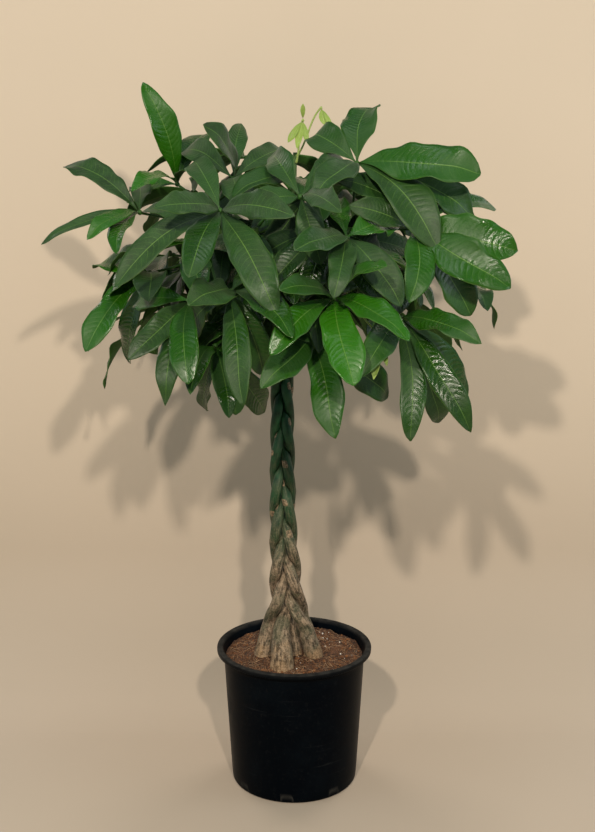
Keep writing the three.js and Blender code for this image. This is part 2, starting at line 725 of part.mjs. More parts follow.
// Soil: a plug that fills the pot, with a low uneven mound, cut by a hole for each stem.
function makeSoil(holes) {
  const inside = (z) => insideAt(z) * Math.cos(Math.PI / POT_SIDES) - SEAT;
  const floor = FLOOR_LIFT + WALL + SEAT;
  const broad = (x, y) => Math.sin(x * 0.05 - y * 0.07);
  const bump = (x, y) => SOIL_BUMP * (Math.sin(x * 0.11 + 1) * Math.cos(y * 0.13) + broad(x, y));
  const rings = [];
  const ringAt = (radius, height) => {
    const ring = [];
    for (let i = 0; i < SOIL_SIDES; i += 1) {
      const angle = (2 * Math.PI * i) / SOIL_SIDES;
      const x = radius * Math.cos(angle);
      const y = radius * Math.sin(angle);
      ring.push([x, y, height(x, y)]);
    }
    return ring;
  };
  rings.push(ringAt(FOOT_PAD_RADIUS - 4, () => WALL + SEAT));
  rings.push(ringAt(FOOT_PAD_RADIUS, () => floor));
  rings.push(ringAt(inside(floor), () => floor));
  rings.push(ringAt(inside(SOIL_TOP - 40), () => SOIL_TOP - 40));
  for (let r = 0; r <= SOIL_RINGS; r += 1) {
    const share = 1 - (0.98 * r) / SOIL_RINGS;
    const mound = SOIL_TOP + SOIL_MOUND * (1 - share * share);
    const level = (x, y) => mound + bump(x, y) * Math.min(1, share + 0.3);
    rings.push(ringAt(inside(SOIL_TOP - 6) * share, level));
  }
  let soil = loft(rings);
  for (const hole of holes) {
    soil = soil.subtract(hole);
  }
  return soil;
}

function mesh(name, shape, colour, roughness) {
  const data = shape.getMesh();
  const points = new Float32Array((data.vertProperties.length / data.numProp) * 3);
  for (let i = 0; i < points.length / 3; i += 1) {
    for (let j = 0; j < 3; j += 1) {
      points[3 * i + j] = data.vertProperties[data.numProp * i + j];
    }
  }
  const geometry = new THREE.BufferGeometry();
  geometry.setAttribute("position", new THREE.BufferAttribute(points, 3));
  geometry.setIndex(new THREE.BufferAttribute(new Uint32Array(data.triVerts), 1));
  const material = new THREE.MeshStandardMaterial({ color: colour, roughness, metalness: 0 });
  const item = new THREE.Mesh(geometry, material);
  item.name = name;
  return item;
}

const POT_BLACK = 0x202327;
const SOIL_BROWN = 0x5a3d2c;
const BARK = 0x77694f;
const LEAF_GREEN = 0x2f5a33;
const YOUNG_GREEN = 0x9aa85c;

const root = new THREE.Group();
root.name = "potted_money_tree";
root.add(mesh("pot", makePot(), POT_BLACK, 0.45));

const holes = [];
const seats = [];
for (let k = 0; k < STEMS; k += 1) {
  holes.push(stemSolid(k, SEAT, STEM_FOOT - SEAT, SOIL_TOP + 40));
  seats.push(stemSolid(k, SEAT, 800, SHOOTS[k][2] + 2));
  let stem = stemSolid(k, 0, STEM_FOOT, SHOOTS[k][2]);
  for (let j = 0; j < k; j += 1) {
    stem = stem.subtract(stemSolid(j, STEM_TRIM, STEM_FOOT - 1, SHOOTS[j][2] + 1));
  }
  stem = biggest(stem.simplify(STEM_TRIM));
  root.add(mesh(`stem_${k + 1}`, stem, BARK, 0.8));
}
root.add(mesh("soil", makeSoil(holes), SOIL_BROWN, 0.95));

for (const leaf of placeLeaves()) {
  const young = leaf.name.startsWith("young");
  root.add(mesh(leaf.name, leafSolid(leaf, seats), young ? YOUNG_GREEN : LEAF_GREEN, 0.5));
}

export default root;
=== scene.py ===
# %% [markdown]
# # A potted money tree
# Five young stems are braided while they are soft, and each one ends in a green shoot with
# hand-shaped leaves. The plant stands in a black nursery pot full of coir, peat and perlite.
# The solids of the plant come in as the frame. Every one of them is then replaced here by a
# finer surface of the same form, worked out with numpy as a function of two parameters.

import bpy
import numpy as np
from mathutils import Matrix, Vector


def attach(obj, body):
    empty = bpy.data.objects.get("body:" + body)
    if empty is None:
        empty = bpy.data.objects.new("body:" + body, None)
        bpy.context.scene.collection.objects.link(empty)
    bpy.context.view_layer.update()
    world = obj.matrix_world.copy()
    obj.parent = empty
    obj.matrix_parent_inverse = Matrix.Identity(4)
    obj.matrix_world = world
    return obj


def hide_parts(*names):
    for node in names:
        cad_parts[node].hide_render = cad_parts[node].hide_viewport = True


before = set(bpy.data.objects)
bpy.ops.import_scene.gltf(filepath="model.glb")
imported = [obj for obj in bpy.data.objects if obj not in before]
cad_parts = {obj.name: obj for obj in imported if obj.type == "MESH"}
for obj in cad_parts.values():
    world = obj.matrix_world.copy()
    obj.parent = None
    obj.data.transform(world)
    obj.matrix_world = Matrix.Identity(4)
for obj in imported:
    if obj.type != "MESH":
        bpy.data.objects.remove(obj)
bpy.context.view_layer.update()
print("frame nodes:", len(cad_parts))

# %% [markdown]
# ## Sizes
# The same named sizes as in the part's source, in metres. The braid is a table of heights: how
# thick one stem is there and how far it swings sideways and fore and aft. Real braids loosen
# towards the soil, where every stem swells into its own foot.

# %% Sizes of the braid, the pot and the leaves
RIM_RADIUS, POT_HEIGHT, LIP_BAND, LIP_DROP, WALL = 0.140, 0.254, 0.009, 0.0085, 0.0022
WALL_TOP_RADIUS, WALL_FOOT_RADIUS, CORNER_RADIUS = 0.1275, 0.114, 0.006
FLOOR_LIFT, FOOT_RING_WIDTH, FOOT_PAD_RADIUS = 0.005, 0.016, 0.060
NOTCHES, NOTCH_TURN, NOTCH_WIDTH, NOTCH_HEIGHT = 8, -6.4, 0.022, 0.014
SEAT, SOIL_TOP, SOIL_MOUND = 0.0003, 0.238, 0.005
STEMS, STEM_FOOT, STEM_GAP, SQUEEZE = 5, 0.196, 0.0012, 9
BRAID_START, BRAID_END, BRAID_PERIOD, BRAID_PHASE = 0.300, 0.820, 0.335, -28.5
LEG_LOW, LEG_HIGH = 0.215, 0.350
BRAID = np.array([
    [0.190, 0.0190, 0.0290, 0.0330], [0.240, 0.0182, 0.0280, 0.0320], [0.275, 0.0158, 0.0265, 0.0300],
    [0.320, 0.0128, 0.0240, 0.0270], [0.360, 0.0110, 0.0205, 0.0240], [0.430, 0.0099, 0.0168, 0.0205],
    [0.500, 0.0094, 0.0148, 0.0185], [0.730, 0.0088, 0.0114, 0.0155], [0.820, 0.0085, 0.0112, 0.0145],
    [0.870, 0.0076, 0.0112, 0.0145], [0.940, 0.0062, 0.0112, 0.0145], [1.130, 0.0034, 0.0112, 0.0145]])
TRUNK = np.array([[0.190, -0.009, -0.012], [0.344, -0.013, -0.008], [0.490, -0.020, 0],
                  [0.820, -0.021, 0], [1.130, -0.021, 0]])
STRANDS = [1, 2, 0, 4, 3]
FEET = np.array([[0.030, 0.030, 1], [0.036, -0.018, 1.02], [-0.021, -0.071, 1.22], [-0.056, -0.014, 1],
                 [0.002, -0.014, 0.88]])
SHOOTS = np.array([[-0.150, -0.040, 1.040], [-0.062, -0.125, 1.010], [0.002, 0.025, 1.128],
                   [0.105, -0.080, 1.050], [0.055, 0.125, 1.060]])


def along(table, z, column):
    """Straight interpolation of one column of a table over its heights."""
    return np.interp(z, table[:, 0], table[:, column])


def ease(t):
    """The cubic 3t^2 - 2t^3 between 0 and 1."""
    s = np.clip(t, 0.0, 1.0)
    return s * s * (3 - 2 * s)


def unit(a):
    """Vectors of the last axis divided by their length."""
    return a / np.sqrt((a * a).sum(-1, keepdims=True))


def ring(count):
    """That many angles, evenly spaced round a circle."""
    return np.linspace(0, 2 * np.pi, count, endpoint=False)


def stacked(*parts):
    """Arrays spread to one shape and joined along a new last axis."""
    return np.stack(np.broadcast_arrays(*parts), -1)


def polar(r, turn, z):
    """Points at radius r, angle turn and height z."""
    return stacked(r * np.cos(turn), r * np.sin(turn), z)


def aimed(length, turn, height):
    """Vector of that length, at the angle turn round the axis and the angle height over the level."""
    return polar(np.cos(height) * length, turn, np.sin(height) * length)


print("stems:", STEMS, "pot height:", POT_HEIGHT)


# %% [markdown]
# ## Path of a stem
# A flat braid seen from above is a figure of eight: every strand swings to the right and to the
# left once in a period and passes the middle in front or behind in between. Five strands share
# the figure, a fifth of a turn apart.

# %% Middle line and cross-section of a stem
def foot_share(z):
    """1 in the soil and 0 in the braid: how much of the stem is its own straight foot."""
    return 1 - ease((np.asarray(z, float) - LEG_LOW) / (LEG_HIGH - LEG_LOW))


def stem_centre(k, z):
    """x = swing sin(a), y = depth sin(2a) with a growing with height; turned near the soil and bent
    towards the end of the shoot above the braid."""
    z = np.asarray(z, float)
    turns = np.maximum(0, z - BRAID_START) / BRAID_PERIOD + STRANDS[k] / STEMS
    angle = 2 * np.pi * turns + np.radians(BRAID_PHASE)
    x = along(TRUNK, z, 1) + along(BRAID, z, 2) * np.sin(angle)
    y = along(TRUNK, z, 2) + along(BRAID, z, 3) * np.sin(2 * angle)
    x = x + (FEET[k, 0] - x) * foot_share(z)
    y = y + (FEET[k, 1] - y) * foot_share(z)
    end_x, end_y, end_z = SHOOTS[k]
    t = np.maximum(0, (z - BRAID_END) / (end_z - BRAID_END))
    away = t * t * (2.2 - 1.2 * t)
    return np.stack([x + (end_x - x) * away, y + (end_y - y) * away, z], -1)


def stem_reach(k, z, angles):
    """Radius of stem k round its middle: the soft minimum of its own radius and of the distance to
    the plane halfway to each neighbour, so pressed stems go flat against each other."""
    centre = stem_centre(k, z)
    own = along(BRAID, z, 1) * (1 + (FEET[k, 2] - 1) * foot_share(z))
    total = np.repeat(own[:, None] ** -SQUEEZE, len(angles), axis=1)
    for j in range(STEMS):
        if j == k:
            continue
        gap = stem_centre(j, z) - centre
        half = (np.hypot(gap[:, 0], gap[:, 1]) - STEM_GAP) / 2
        facing = np.cos(angles[None, :] - np.arctan2(gap[:, 1], gap[:, 0])[:, None])
        total += np.where(facing > 0.05, np.abs(facing / half[:, None]) ** SQUEEZE, 0)
    return total ** (-1 / SQUEEZE)


print("stem 1 at the soil:", np.round(stem_centre(0, SOIL_TOP), 4))

# %% [markdown]
# ## Leaves
# A palmate leaf is a stalk, a small knuckle and five or six blades spread like fingers. The
# leaves that the front view shows are listed, one row each: name, stem, height on the stem,
# knuckle, and for each blade its tip and width in millimetres, how fresh it is and how much
# painted sheen, a grey-green painted over the green, it gets.
# The others follow a rule.
# Blades of neighbouring leaves must not pass through each other, so each blade is turned a
# little, by a fixed list of tries, until it is clear. The part's source places them the same way.

# %% Rows of the leaves
STALK_RADIUS, BLADE_ROOT, BLADE_FOLD, BLADE_WAVE = 0.0021, 0.0032, 0.2, 0.07
BLADE_THICKNESS, CLEAR, YOUNG_WIDTH, BLADE_WAVES = 0.0009, 0.0022, 0.015, 7.5
FRONT_LOOK = np.array([-0.05, -0.85, 0.55])
BLADE_OUTLINE = [(0, 0.035), (0.3, 0.7), (0.62, 1), (0.88, 0.68)]
LEAVES = [
    ["leaf_left_hanging", 0, 905, [-160, -190, 900], [[-245, -300, 825, 43, 0, 0.55],
     [-192, -312, 762, 38, 0.1, 0.35], [-155, -325, 795, 47, 0.35, 0], [-265, -80, 890, 46, 0.8, 0]]],
    ["leaf_left_high", 0, 985, [-255, -40, 1030], [[-389, 20, 1113, 50, 0, 0.75],
     [-405, -130, 990, 27, 0, 0.9], [-320, -170, 1005, 34, 0.75, 0], [-280, -180, 980, 37, 0.5, 0],
     [-275, 105, 1070, 39, 0.1, 0.8], [-135, -135, 1025, 41, 0, 0.85]]],
    ["leaf_left_top", 0, 1030, [-200, 40, 1075], [[-244, -30, 1240, 44, 0.7, 0],
     [-260, -95, 1070, 38, 1, 0], [-130, -90, 1095, 42, 0.1, 0.6], [-155, 160, 1172, 48, 0.2, 0.35],
     [-303, 175, 1049, 50, 0.5, 0.1]]],
    ["leaf_top_left", 2, 1050, [-100, -30, 1085], [[-130, -150, 1170, 46, 0, 0.85],
     [-90, 85, 1180, 35, 0.2, 0.5], [-195, 80, 1135, 45, 0, 0.8], [-15, 95, 1135, 49, 0.1, 0.8],
     [-70, -185, 1035, 49, 0, 0.9]]],
    ["leaf_right_top", 3, 1030, [100, -110, 1110], [[128, 0, 1208, 64, 0.3, 0.3],
     [285, -190, 1100, 74, 0.4, 0.25], [290, -140, 1030, 72, 0.25, 0.45], [220, -220, 985, 66, 0.1, 0.6],
     [30, -255, 1070, 52, 0, 0.7], [25, -30, 1161, 54, 0.2, 0.5]]],
    ["leaf_right", 3, 985, [185, -170, 1010], [[341, -220, 979, 74, 0.6, 0],
     [336, -60, 1040, 32, 0.5, 0], [328, -250, 927, 66, 0.45, 0.1], [280, -180, 875, 58, 0.3, 0.1],
     [177, -280, 912, 52, 0.5, 0], [89, -215, 1048, 43, 0, 0.5]]],
    ["leaf_right_low", 3, 905, [165, -200, 875], [[265, -350, 865, 46, 0.45, 0],
     [270, -300, 715, 43, 0.2, 0.1], [175, -315, 705, 39, 0.1, 0.3], [245, -135, 685, 44, 0.1, 0.1],
     [295, -75, 715, 50, 0.2, 0], [80, -350, 815, 46, 0.3, 0.2]]],
    ["leaf_front", 1, 950, [60, -250, 910], [[-30, -380, 850, 42, 0.65, 0.1],
     [85, -400, 805, 56, 0.9, 0], [165, -380, 870, 48, 0.7, 0], [130, -370, 970, 42, 0.7, 0.1],
     [-15, -375, 940, 39, 0.4, 0.4], [40, -115, 975, 45, 0.35, 0.2]]],
    ["leaf_front_high", 3, 945, [80, -230, 1000], [[60, -360, 930, 39, 0.1, 0.3],
     [159, -315, 909, 51, 0, 0.6], [5, -375, 995, 44, 0.1, 0.4], [156, -145, 1022, 55, 0.6, 0],
     [50, -90, 1050, 45, 0.5, 0.1]]],
    ["leaf_front_low", 1, 880, [30, -200, 845], [[60, -335, 715, 51, 0.25, 0.1],
     [-45, -330, 795, 50, 0.35, 0], [163, -150, 738, 54, 0.2, 0]]],
    ["leaf_front_left", 1, 915, [-95, -240, 920], [[-75, -370, 770, 43, 0.1, 0.25],
     [-140, -385, 925, 50, 0.1, 0.6], [0, -385, 878, 45, 0.2, 0.1], [-198, -130, 842, 52, 0.1, 0.3],
     [-30, -110, 955, 50, 0, 0.2], [-45, -230, 790, 48, 0.3, 0]]],
    ["leaf_left_low", 0, 870, [-125, -160, 825], [[-155, -300, 775, 42, 0.2, 0],
     [-155, -80, 700, 37, 0.15, 0.1], [-95, -280, 740, 39, 0.1, 0.1], [-45, -90, 700, 47, 0.3, 0]]],
    ["leaf_middle_left", 1, 970, [-110, -230, 1040], [[-25, -360, 905, 57, 0.05, 0.45],
     [-260, -320, 935, 49, 0, 0.7], [-195, -350, 1050, 42, 0, 0.75], [-160, -95, 1115, 45, 0.1, 0.6],
     [0, -355, 1040, 45, 0, 0.7], [-145, -385, 955, 47, 0.1, 0.2]]],
    ["leaf_left", 0, 945, [-235, -90, 935], [[-326, -205, 824, 50, 0.5, 0.1],
     [-340, -15, 945, 47, 0.7, 0], [-220, -235, 905, 52, 0.1, 0.6], [-292, -20, 756, 47, 0.3, 0.1]]],
    ["leaf_middle", 1, 1005, [10, -230, 1060], [[47, -280, 964, 45, 0, 0.65],
     [-63, -280, 1047, 42, 0, 0.7], [65, -370, 1045, 39, 0, 0.8], [-35, -105, 1125, 44, 0.2, 0.3],
     [88, -35, 1115, 44, 0.1, 0.6]]],
    ["young_leaf_top_left", 2, 1105, [15, 0, 1180], [[15, -15, 1206, 8], [-10, -30, 1143, 12],
     [5, -32, 1133, 12], [22, -25, 1143, 10]]],
    ["young_leaf_top_right", 2, 1118, [45, 0, 1200], [[50, -20, 1172, 13], [64, -33, 1162, 8],
     [60, -18, 1152, 8]]],
    ["young_leaf_low", 3, 925, [128, -285, 860], [[117, -330, 800, 14], [137, -320, 818, 9]]],
]
BACK_LEAVES = [
    [3, 960, 8, 245, 940, 35], [3, 1010, 25, 225, 1030, 20], [4, 900, 40, 235, 870, 40],
    [4, 1010, 45, 190, 1070, 15], [4, 930, 84, 230, 865, 45], [4, 1040, 88, 215, 1060, 18],
    [2, 960, 108, 235, 960, 32], [2, 900, 128, 225, 875, 42], [2, 1060, 120, 150, 1120, 12],
    [2, 1000, 134, 225, 1055, 20], [0, 930, 152, 232, 950, 38], [0, 885, 168, 225, 860, 44],
]
INNER_LEAVES = [
    [2, 1030, -75, 80, 1085, 8], [3, 940, -40, 140, 990, 25],
    [0, 930, -146, 165, 985, 30], [1, 880, -115, 125, 885, 35],
]
BACK_LEAFLETS, BACK_SPREAD, BACK_LENGTH, BACK_WIDTH = 5, 58, (0.165, 0.205), (0.046, 0.062)
STALK_RISE, STALK_START, STALK_END = 0.9, 0.34, 0.3
LEAF_SEED, LOOK_SEED, SHADE_SEED, SCAR_SEED, SOIL_SEED, MM = 20261, 77, 4711, 5, 11, 0.001
SHOOT_TEST_FROM, SHOOT_TEST_STEP = 700, 30
SIGNS = {True: (1, -1), False: (1,)}
TURNS = [(0, 0), (0, 7), (7, 0), (7, 9), (0, 15), (15, 0), (14, 14), (0, 24), (24, 0), (22, 22), (34, 0),
         (0, 36)]
TRIES = [(p * a, q * b) for a, b in TURNS for p in SIGNS[a > 0] for q in SIGNS[b > 0]]
SHORTER = [1, 0.86, 0.72]
print("leaf rows:", len(LEAVES) + len(BACK_LEAVES) + len(INNER_LEAVES))


# %% A draw that gives the same series each time, and the stalk of a leaf
def make_draw(seed):
    """Each draw multiplies the state by 16807 and keeps the rest of a division by 2147483647."""
    state = [seed]

    def draw():
        state[0] = (state[0] * 16807) % 2147483647
        return state[0] / 2147483647

    return draw


def stalk_curve(stem, height, knuckle, t):
    """Bezier curve that leaves the stem upwards and arches over to the knuckle, at shares t."""
    start = stem_centre(stem, height)
    way = knuckle - start
    length = np.sqrt(way @ way)
    out = unit(np.array([way[0], way[1], 0.0000001]))
    up = np.array([0, 0, STALK_RISE])
    first = start + unit(out + up) * length * STALK_START
    last = knuckle - unit(out + up * way[2] / length) * length * STALK_END
    t = np.asarray(t, float)[:, None]
    s = 1 - t
    return start * s**3 + first * 3 * s * s * t + last * 3 * s * t * t + knuckle * t**3


def between(ends, share):
    """Value at a share of the way between two ends."""
    return ends[0] + (ends[1] - ends[0]) * share


def rule_tips(knuckle, direction, droop, draw):
    """Tips and widths of a leaf placed by rule: blades spread round the knuckle and drooping."""
    tips = []
    for i in range(BACK_LEAFLETS):
        spread = (i - (BACK_LEAFLETS - 1) / 2) * BACK_SPREAD + (draw() - 0.5) * 12
        side = abs(spread) / 150
        height = -np.radians(droop * (1 - 0.75 * side) + (draw() - 0.5) * 14)
        length = between(BACK_LENGTH, draw()) * (1 - 0.22 * side)
        width = between(BACK_WIDTH, draw()) * (1 - 0.15 * side)
        tips.append((knuckle + aimed(length, np.radians(direction + spread), height), width))
    return tips


print("stalk and rule ready")


# %% [markdown]
# ## One blade
# The blade is carried along an arched line from the knuckle to the tip. Its upper face looks to
# the light, so the side and the upper direction come from the chord and that look.

# %% Frame, middle line and coarse rows of a blade
def make_blade(root, tip, width, facing, arch, roll, phase):
    """Side and upper directions of a blade: the look made square to the chord and then rolled."""
    chord = unit(tip - root)
    normal = unit(facing - chord * (facing @ chord))
    side = np.cross(chord, normal)
    normal = normal * np.cos(roll) + side * np.sin(roll)
    return {"root": root, "tip": tip, "width": width, "arch": arch, "phase": phase,
            "normal": normal, "side": np.cross(chord, normal)}


def blade_middle(blade, u):
    """Chord plus an arch of height arch * length * sin(pi u^0.85) along the upper direction."""
    u = np.asarray(u, float)[..., None]
    way = blade["tip"] - blade["root"]
    rise = blade["arch"] * np.sqrt(way @ way) * np.sin(np.pi * u**0.85)
    return blade["root"] + way * u + blade["normal"] * rise


def blade_up(blade, u):
    """Upper direction along the middle line: square to its tangent and to the side."""
    tangent = unit(blade_middle(blade, u + 0.02) - blade_middle(blade, np.maximum(0, u - 0.02)))
    return unit(np.cross(tangent, -blade["side"]))


def coarse_rows(blade, grow):
    """Left edge, midrib and right edge of the four coarse sections, then the tip, with upper
    directions; grow widens the outline."""
    u, share = np.array(BLADE_OUTLINE).T
    up, middle = blade_up(blade, u), blade_middle(blade, u)
    hand = np.array([-1.0, 0.0, 1.0])
    half = share * blade["width"] / 2 + grow
    wave = hand**2 * np.sin(BLADE_WAVES * u[:, None] + blade["phase"] + hand)
    wave = wave * BLADE_WAVE * blade["width"]
    lift = np.abs(hand) * BLADE_FOLD * half[:, None] + wave * share[:, None]
    points = middle[:, None] + (hand * half[:, None])[..., None] * blade["side"]
    points = points + lift[..., None] * up[:, None]
    tip = blade["tip"] + unit(blade["tip"] - blade["root"]) * grow
    points = np.concatenate([points.reshape(-1, 3), [tip]])
    return points, np.concatenate([np.repeat(up, 3, axis=0), up[-1:]])


COARSE = []
for r in range(3):
    a = 3 * r
    COARSE += [[a, a + 1, a + 4], [a, a + 4, a + 3], [a + 1, a + 2, a + 4], [a + 2, a + 5, a + 4]]
COARSE = np.array(COARSE + [[9, 10, 12], [10, 11, 12]])
print("coarse triangles a blade:", len(COARSE))


# %% [markdown]
# ## Keeping blades clear of each other
# Two sheets cross when an edge of one passes through a triangle of the other. Each blade is
# tested with three layers, so a little air stays between leaves, as on the real plant.

# %% Crossing test
def pierced(lines, faces):
    """Whether any line passes any triangle, by solving for the meeting point of each pair."""
    if not len(lines) or not len(faces):
        return False
    p, way = lines[:, None, 0], lines[:, None, 1] - lines[:, None, 0]
    a, b, c = (faces[None, :, i] for i in range(3))
    ab, ac = b - a, c - a
    h = np.cross(way, ac)
    det = (ab * h).sum(-1)
    flat = np.abs(det) < 1e-18
    inverse = 1 / np.where(flat, 1, det)
    s = p - a
    u = (s * h).sum(-1) * inverse
    g = np.cross(s, ab)
    v = (way * g).sum(-1) * inverse
    t = (ac * g).sum(-1) * inverse
    return bool((~flat & (u >= 0) & (v >= 0) & (u + v <= 1) & (t >= 0) & (t <= 1)).any())


def probe_of(faces, lines, points):
    """Triangles and lines to test, and the low and high corner of a box round some points."""
    return faces, lines, points.min(0) - MM, points.max(0) + MM


def blade_probe(blade):
    """Three layers of triangles, with all their edges in the middle layer."""
    points, ups = coarse_rows(blade, CLEAR)
    faces = np.concatenate([(points + ups * shift)[COARSE] for shift in (-CLEAR, 0, CLEAR)])
    corners = points[COARSE]
    lines = np.concatenate([corners[:, [0, 1]], corners[:, [1, 2]], corners[:, [2, 0]]])
    return probe_of(faces, lines, faces.reshape(-1, 3))


def rod_probe(path, radius):
    """Lines along the middle and the skin of a stalk or shoot."""
    shifts = np.concatenate([[[0, 0, 0]], np.eye(3), -np.eye(3)]) * radius
    lines = np.stack([path[:-1], path[1:]], 1)[:, None] + shifts[None, :, None]
    lines = lines.reshape(-1, 2, 3)
    return probe_of(np.zeros((0, 3, 3)), lines, lines.reshape(-1, 3))


def turn_tip(root, tip, lift, swing, scale):
    """Chord turned up by lift and sideways by swing, in degrees, and scaled."""
    way = tip - root
    length = np.sqrt(way @ way) * scale
    height = np.arctan2(way[2], np.hypot(way[0], way[1])) + np.radians(lift)
    around = np.arctan2(way[1], way[0]) + np.radians(swing)
    return root + aimed(length, around, height)


def find_place(knuckle, tip, width, form, others):
    """First of the tries that leaves the blade clear of all the others, or None. The form is the
    look, arch, roll and phase of the blade."""
    for scale in SHORTER:
        for lift, swing in TRIES:
            turned = turn_tip(knuckle, tip, lift, swing, scale)
            root = knuckle + unit(turned - knuckle) * BLADE_ROOT
            blade = make_blade(root, turned, width * np.sqrt(scale), *form)
            faces, lines, low, high = probe = blade_probe(blade)
            near = [q for q in others if (q[2] <= high).all() and (low <= q[3]).all()]
            if not near:
                return blade, probe
            near_lines = np.concatenate([q[1] for q in near])
            near_faces = np.concatenate([q[0] for q in near])
            if not pierced(near_lines, faces) and not pierced(lines, near_faces):
                return blade, probe
    return None


# %% [markdown]
# The tips of the listed leaves come from the picture. The rest of the crown is dealt out by
# rule, and every blade is given to the crossing test before it may stay.

# %% Placing the leaves
def look_of(leaf):
    """Up and outwards for the leaves placed by rule, towards the front for the others."""
    if leaf["name"].startswith(("leaf_back", "leaf_inner")):
        out = unit(np.array([leaf["knuckle"][0] - TRUNK[3, 1], leaf["knuckle"][1], 0.000001]))
        return np.array([0, 0, 0.8]) + out * 0.6
    return FRONT_LOOK


def bending(draw, young):
    """Arch as a share of the length, roll round the chord and phase of the waves of a blade."""
    arch = (0.02 if young else 0.07) + 0.06 * draw()
    return arch, np.radians((draw() - 0.5) * (10 if young else 34)), draw() * 6.2


def list_leaves(draw):
    """One leaf a row, first those listed and then those placed by rule, with no blades."""
    rows = []
    for name, stem, height, knuckle, blades in LEAVES:
        tips = [(np.array(row[:3]) * MM, row[3] * MM) for row in blades]
        looks = [row[4:] for row in blades if row[4:]]
        rows.append((name, stem, height, np.array(knuckle) * MM, tips, looks))
    for kind, table in (("leaf_back", BACK_LEAVES), ("leaf_inner", INNER_LEAVES)):
        for i, (stem, height, direction, reach, level, droop) in enumerate(table):
            knuckle = (polar(reach, np.radians(direction), level) - [10, 10, 0]) * MM
            tips = rule_tips(knuckle, direction, droop, draw)
            rows.append((f"{kind}_{i + 1}", stem, height, knuckle, tips, []))
    return [{"name": name, "stem": stem, "height": height * MM, "knuckle": knuckle, "tips": tips,
             "looks": looks, "blades": []} for name, stem, height, knuckle, tips, looks in rows]


def shoot_probes():
    """Short rods along the upper part of every stem, up to its end."""
    probes = []
    for k in range(STEMS):
        for z in np.arange(SHOOT_TEST_FROM, SHOOTS[k, 2] / MM - 1e-6, SHOOT_TEST_STEP) * MM:
            ends = stem_centre(k, np.array([z, min(SHOOTS[k, 2], z + SHOOT_TEST_STEP * MM)]))
            probes.append(rod_probe(ends, along(BRAID, z, 1) + MM))
    return probes


def place_leaves():
    """All leaves with their blades, each blade turned until it clears the others."""
    draw = make_draw(LEAF_SEED)
    leaves, placed, dropped = list_leaves(draw), [], 0
    stalks = []
    for leaf in leaves:
        path = stalk_curve(leaf["stem"], leaf["height"], leaf["knuckle"], np.linspace(0, 1, 5))
        stalks.append((leaf["name"], rod_probe(path, STALK_RADIUS + MM)))
    shoots = shoot_probes()
    for leaf in leaves:
        others = shoots + [q for name, q in stalks + placed if name != leaf["name"]]
        for tip, width in leaf["tips"]:
            form = look_of(leaf), *bending(draw, width < YOUNG_WIDTH)
            found = find_place(leaf["knuckle"], tip, width, form, others)
            if found:
                leaf["blades"].append(found[0])
                placed.append((leaf["name"], found[1]))
            else:
                dropped += 1
    return leaves, dropped


leaves, dropped = place_leaves()
blade_count = sum(len(leaf["blades"]) for leaf in leaves)
print("leaves:", len(leaves), "blades:", blade_count, "left out:", dropped)

# %% [markdown]
# ## Meshes from grids
# Every surface below is a grid of points. One helper joins neighbours into quads and closes the
# grid round where it is a tube. A class collects grids, shuts each end of a tube with one face and
# makes a mesh with a map of shares along and across.


# %% Grid helpers
def grid_quads(rows, columns, closed):
    """Indices of the quads between neighbouring rows and columns of a grid."""
    i, j = np.mgrid[:rows - 1, :columns if closed else columns - 1]
    k = (j + 1) % columns
    low, high = i * columns, (i + 1) * columns
    return stacked(low + j, low + k, high + k, high + j).reshape(-1, 4)


class Sheets:
    """Collects grids of points with their share maps and makes one mesh of them."""

    def __init__(self):
        self.points, self.faces, self.maps, self.extra, self.count = [], [], [], [], 0

    def add(self, grid, u, v, extra=(0, 0, 0, 0), closed=True, flip=False):
        """Adds a grid (rows, columns, 3); u and v are its shares, extra its colour data. A closed
        grid is a tube with both ends shut."""
        rows, columns = grid.shape[:2]
        faces = [tuple(q) for q in (grid_quads(rows, columns, closed) + self.count).tolist()]
        if closed:
            first = self.count + np.arange(columns)
            last = first + (rows - 1) * columns
            faces += [tuple(first[::-1].tolist()), tuple(last.tolist())]
        if flip:
            faces = [face[::-1] for face in faces]
        self.points.append(grid.reshape(-1, 3))
        self.faces += faces
        self.maps.append(stacked(u, v).reshape(-1, 2))
        data = np.broadcast_to(np.asarray(extra, float), (rows, columns, 4))
        self.extra.append(data.reshape(-1, 4))
        self.count += rows * columns

    def mesh(self, name, smooth=True):
        """One object with the map 'shares' and the colour attribute 'look'."""
        data = bpy.data.meshes.new(name)
        points = np.concatenate(self.points)
        data.from_pydata(points.tolist(), [], self.faces)
        corner = np.zeros(len(data.loops), int)
        data.loops.foreach_get("vertex_index", corner)
        shares = data.uv_layers.new(name="shares")
        shares.data.foreach_set("uv", np.concatenate(self.maps)[corner].ravel())
        look = data.color_attributes.new("look", "FLOAT_COLOR", "POINT")
        look.data.foreach_set("color", np.concatenate(self.extra).ravel())
        data.polygons.foreach_set("use_smooth", np.full(len(data.polygons), smooth))
        data.update()
        item = bpy.data.objects.new(name, data)
        bpy.context.scene.collection.objects.link(item)
        return item


def sheet(name, *grid, **options):
    """Object made of one grid."""
    sheets = Sheets()
    sheets.add(*grid, **options)
    return sheets.mesh(name)


def finish_piece(item, material, slot, *nodes):
    """Gives a piece its material, hangs it under the root body and hides the nodes that it stands for,
    if any.
    """
    item.data.materials.append(material)
    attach(item, "root")
    if nodes:
        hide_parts(*nodes)
    print(item.name, "faces:", len(item.data.polygons))


# %% [markdown]
# ## Node helper
# Materials are graphs. One class adds a node, sets its values and links its inputs in one line.
# The other stands for a node's output, and lets sums and products be written as formulas, so each
# finish below reads from top to bottom.


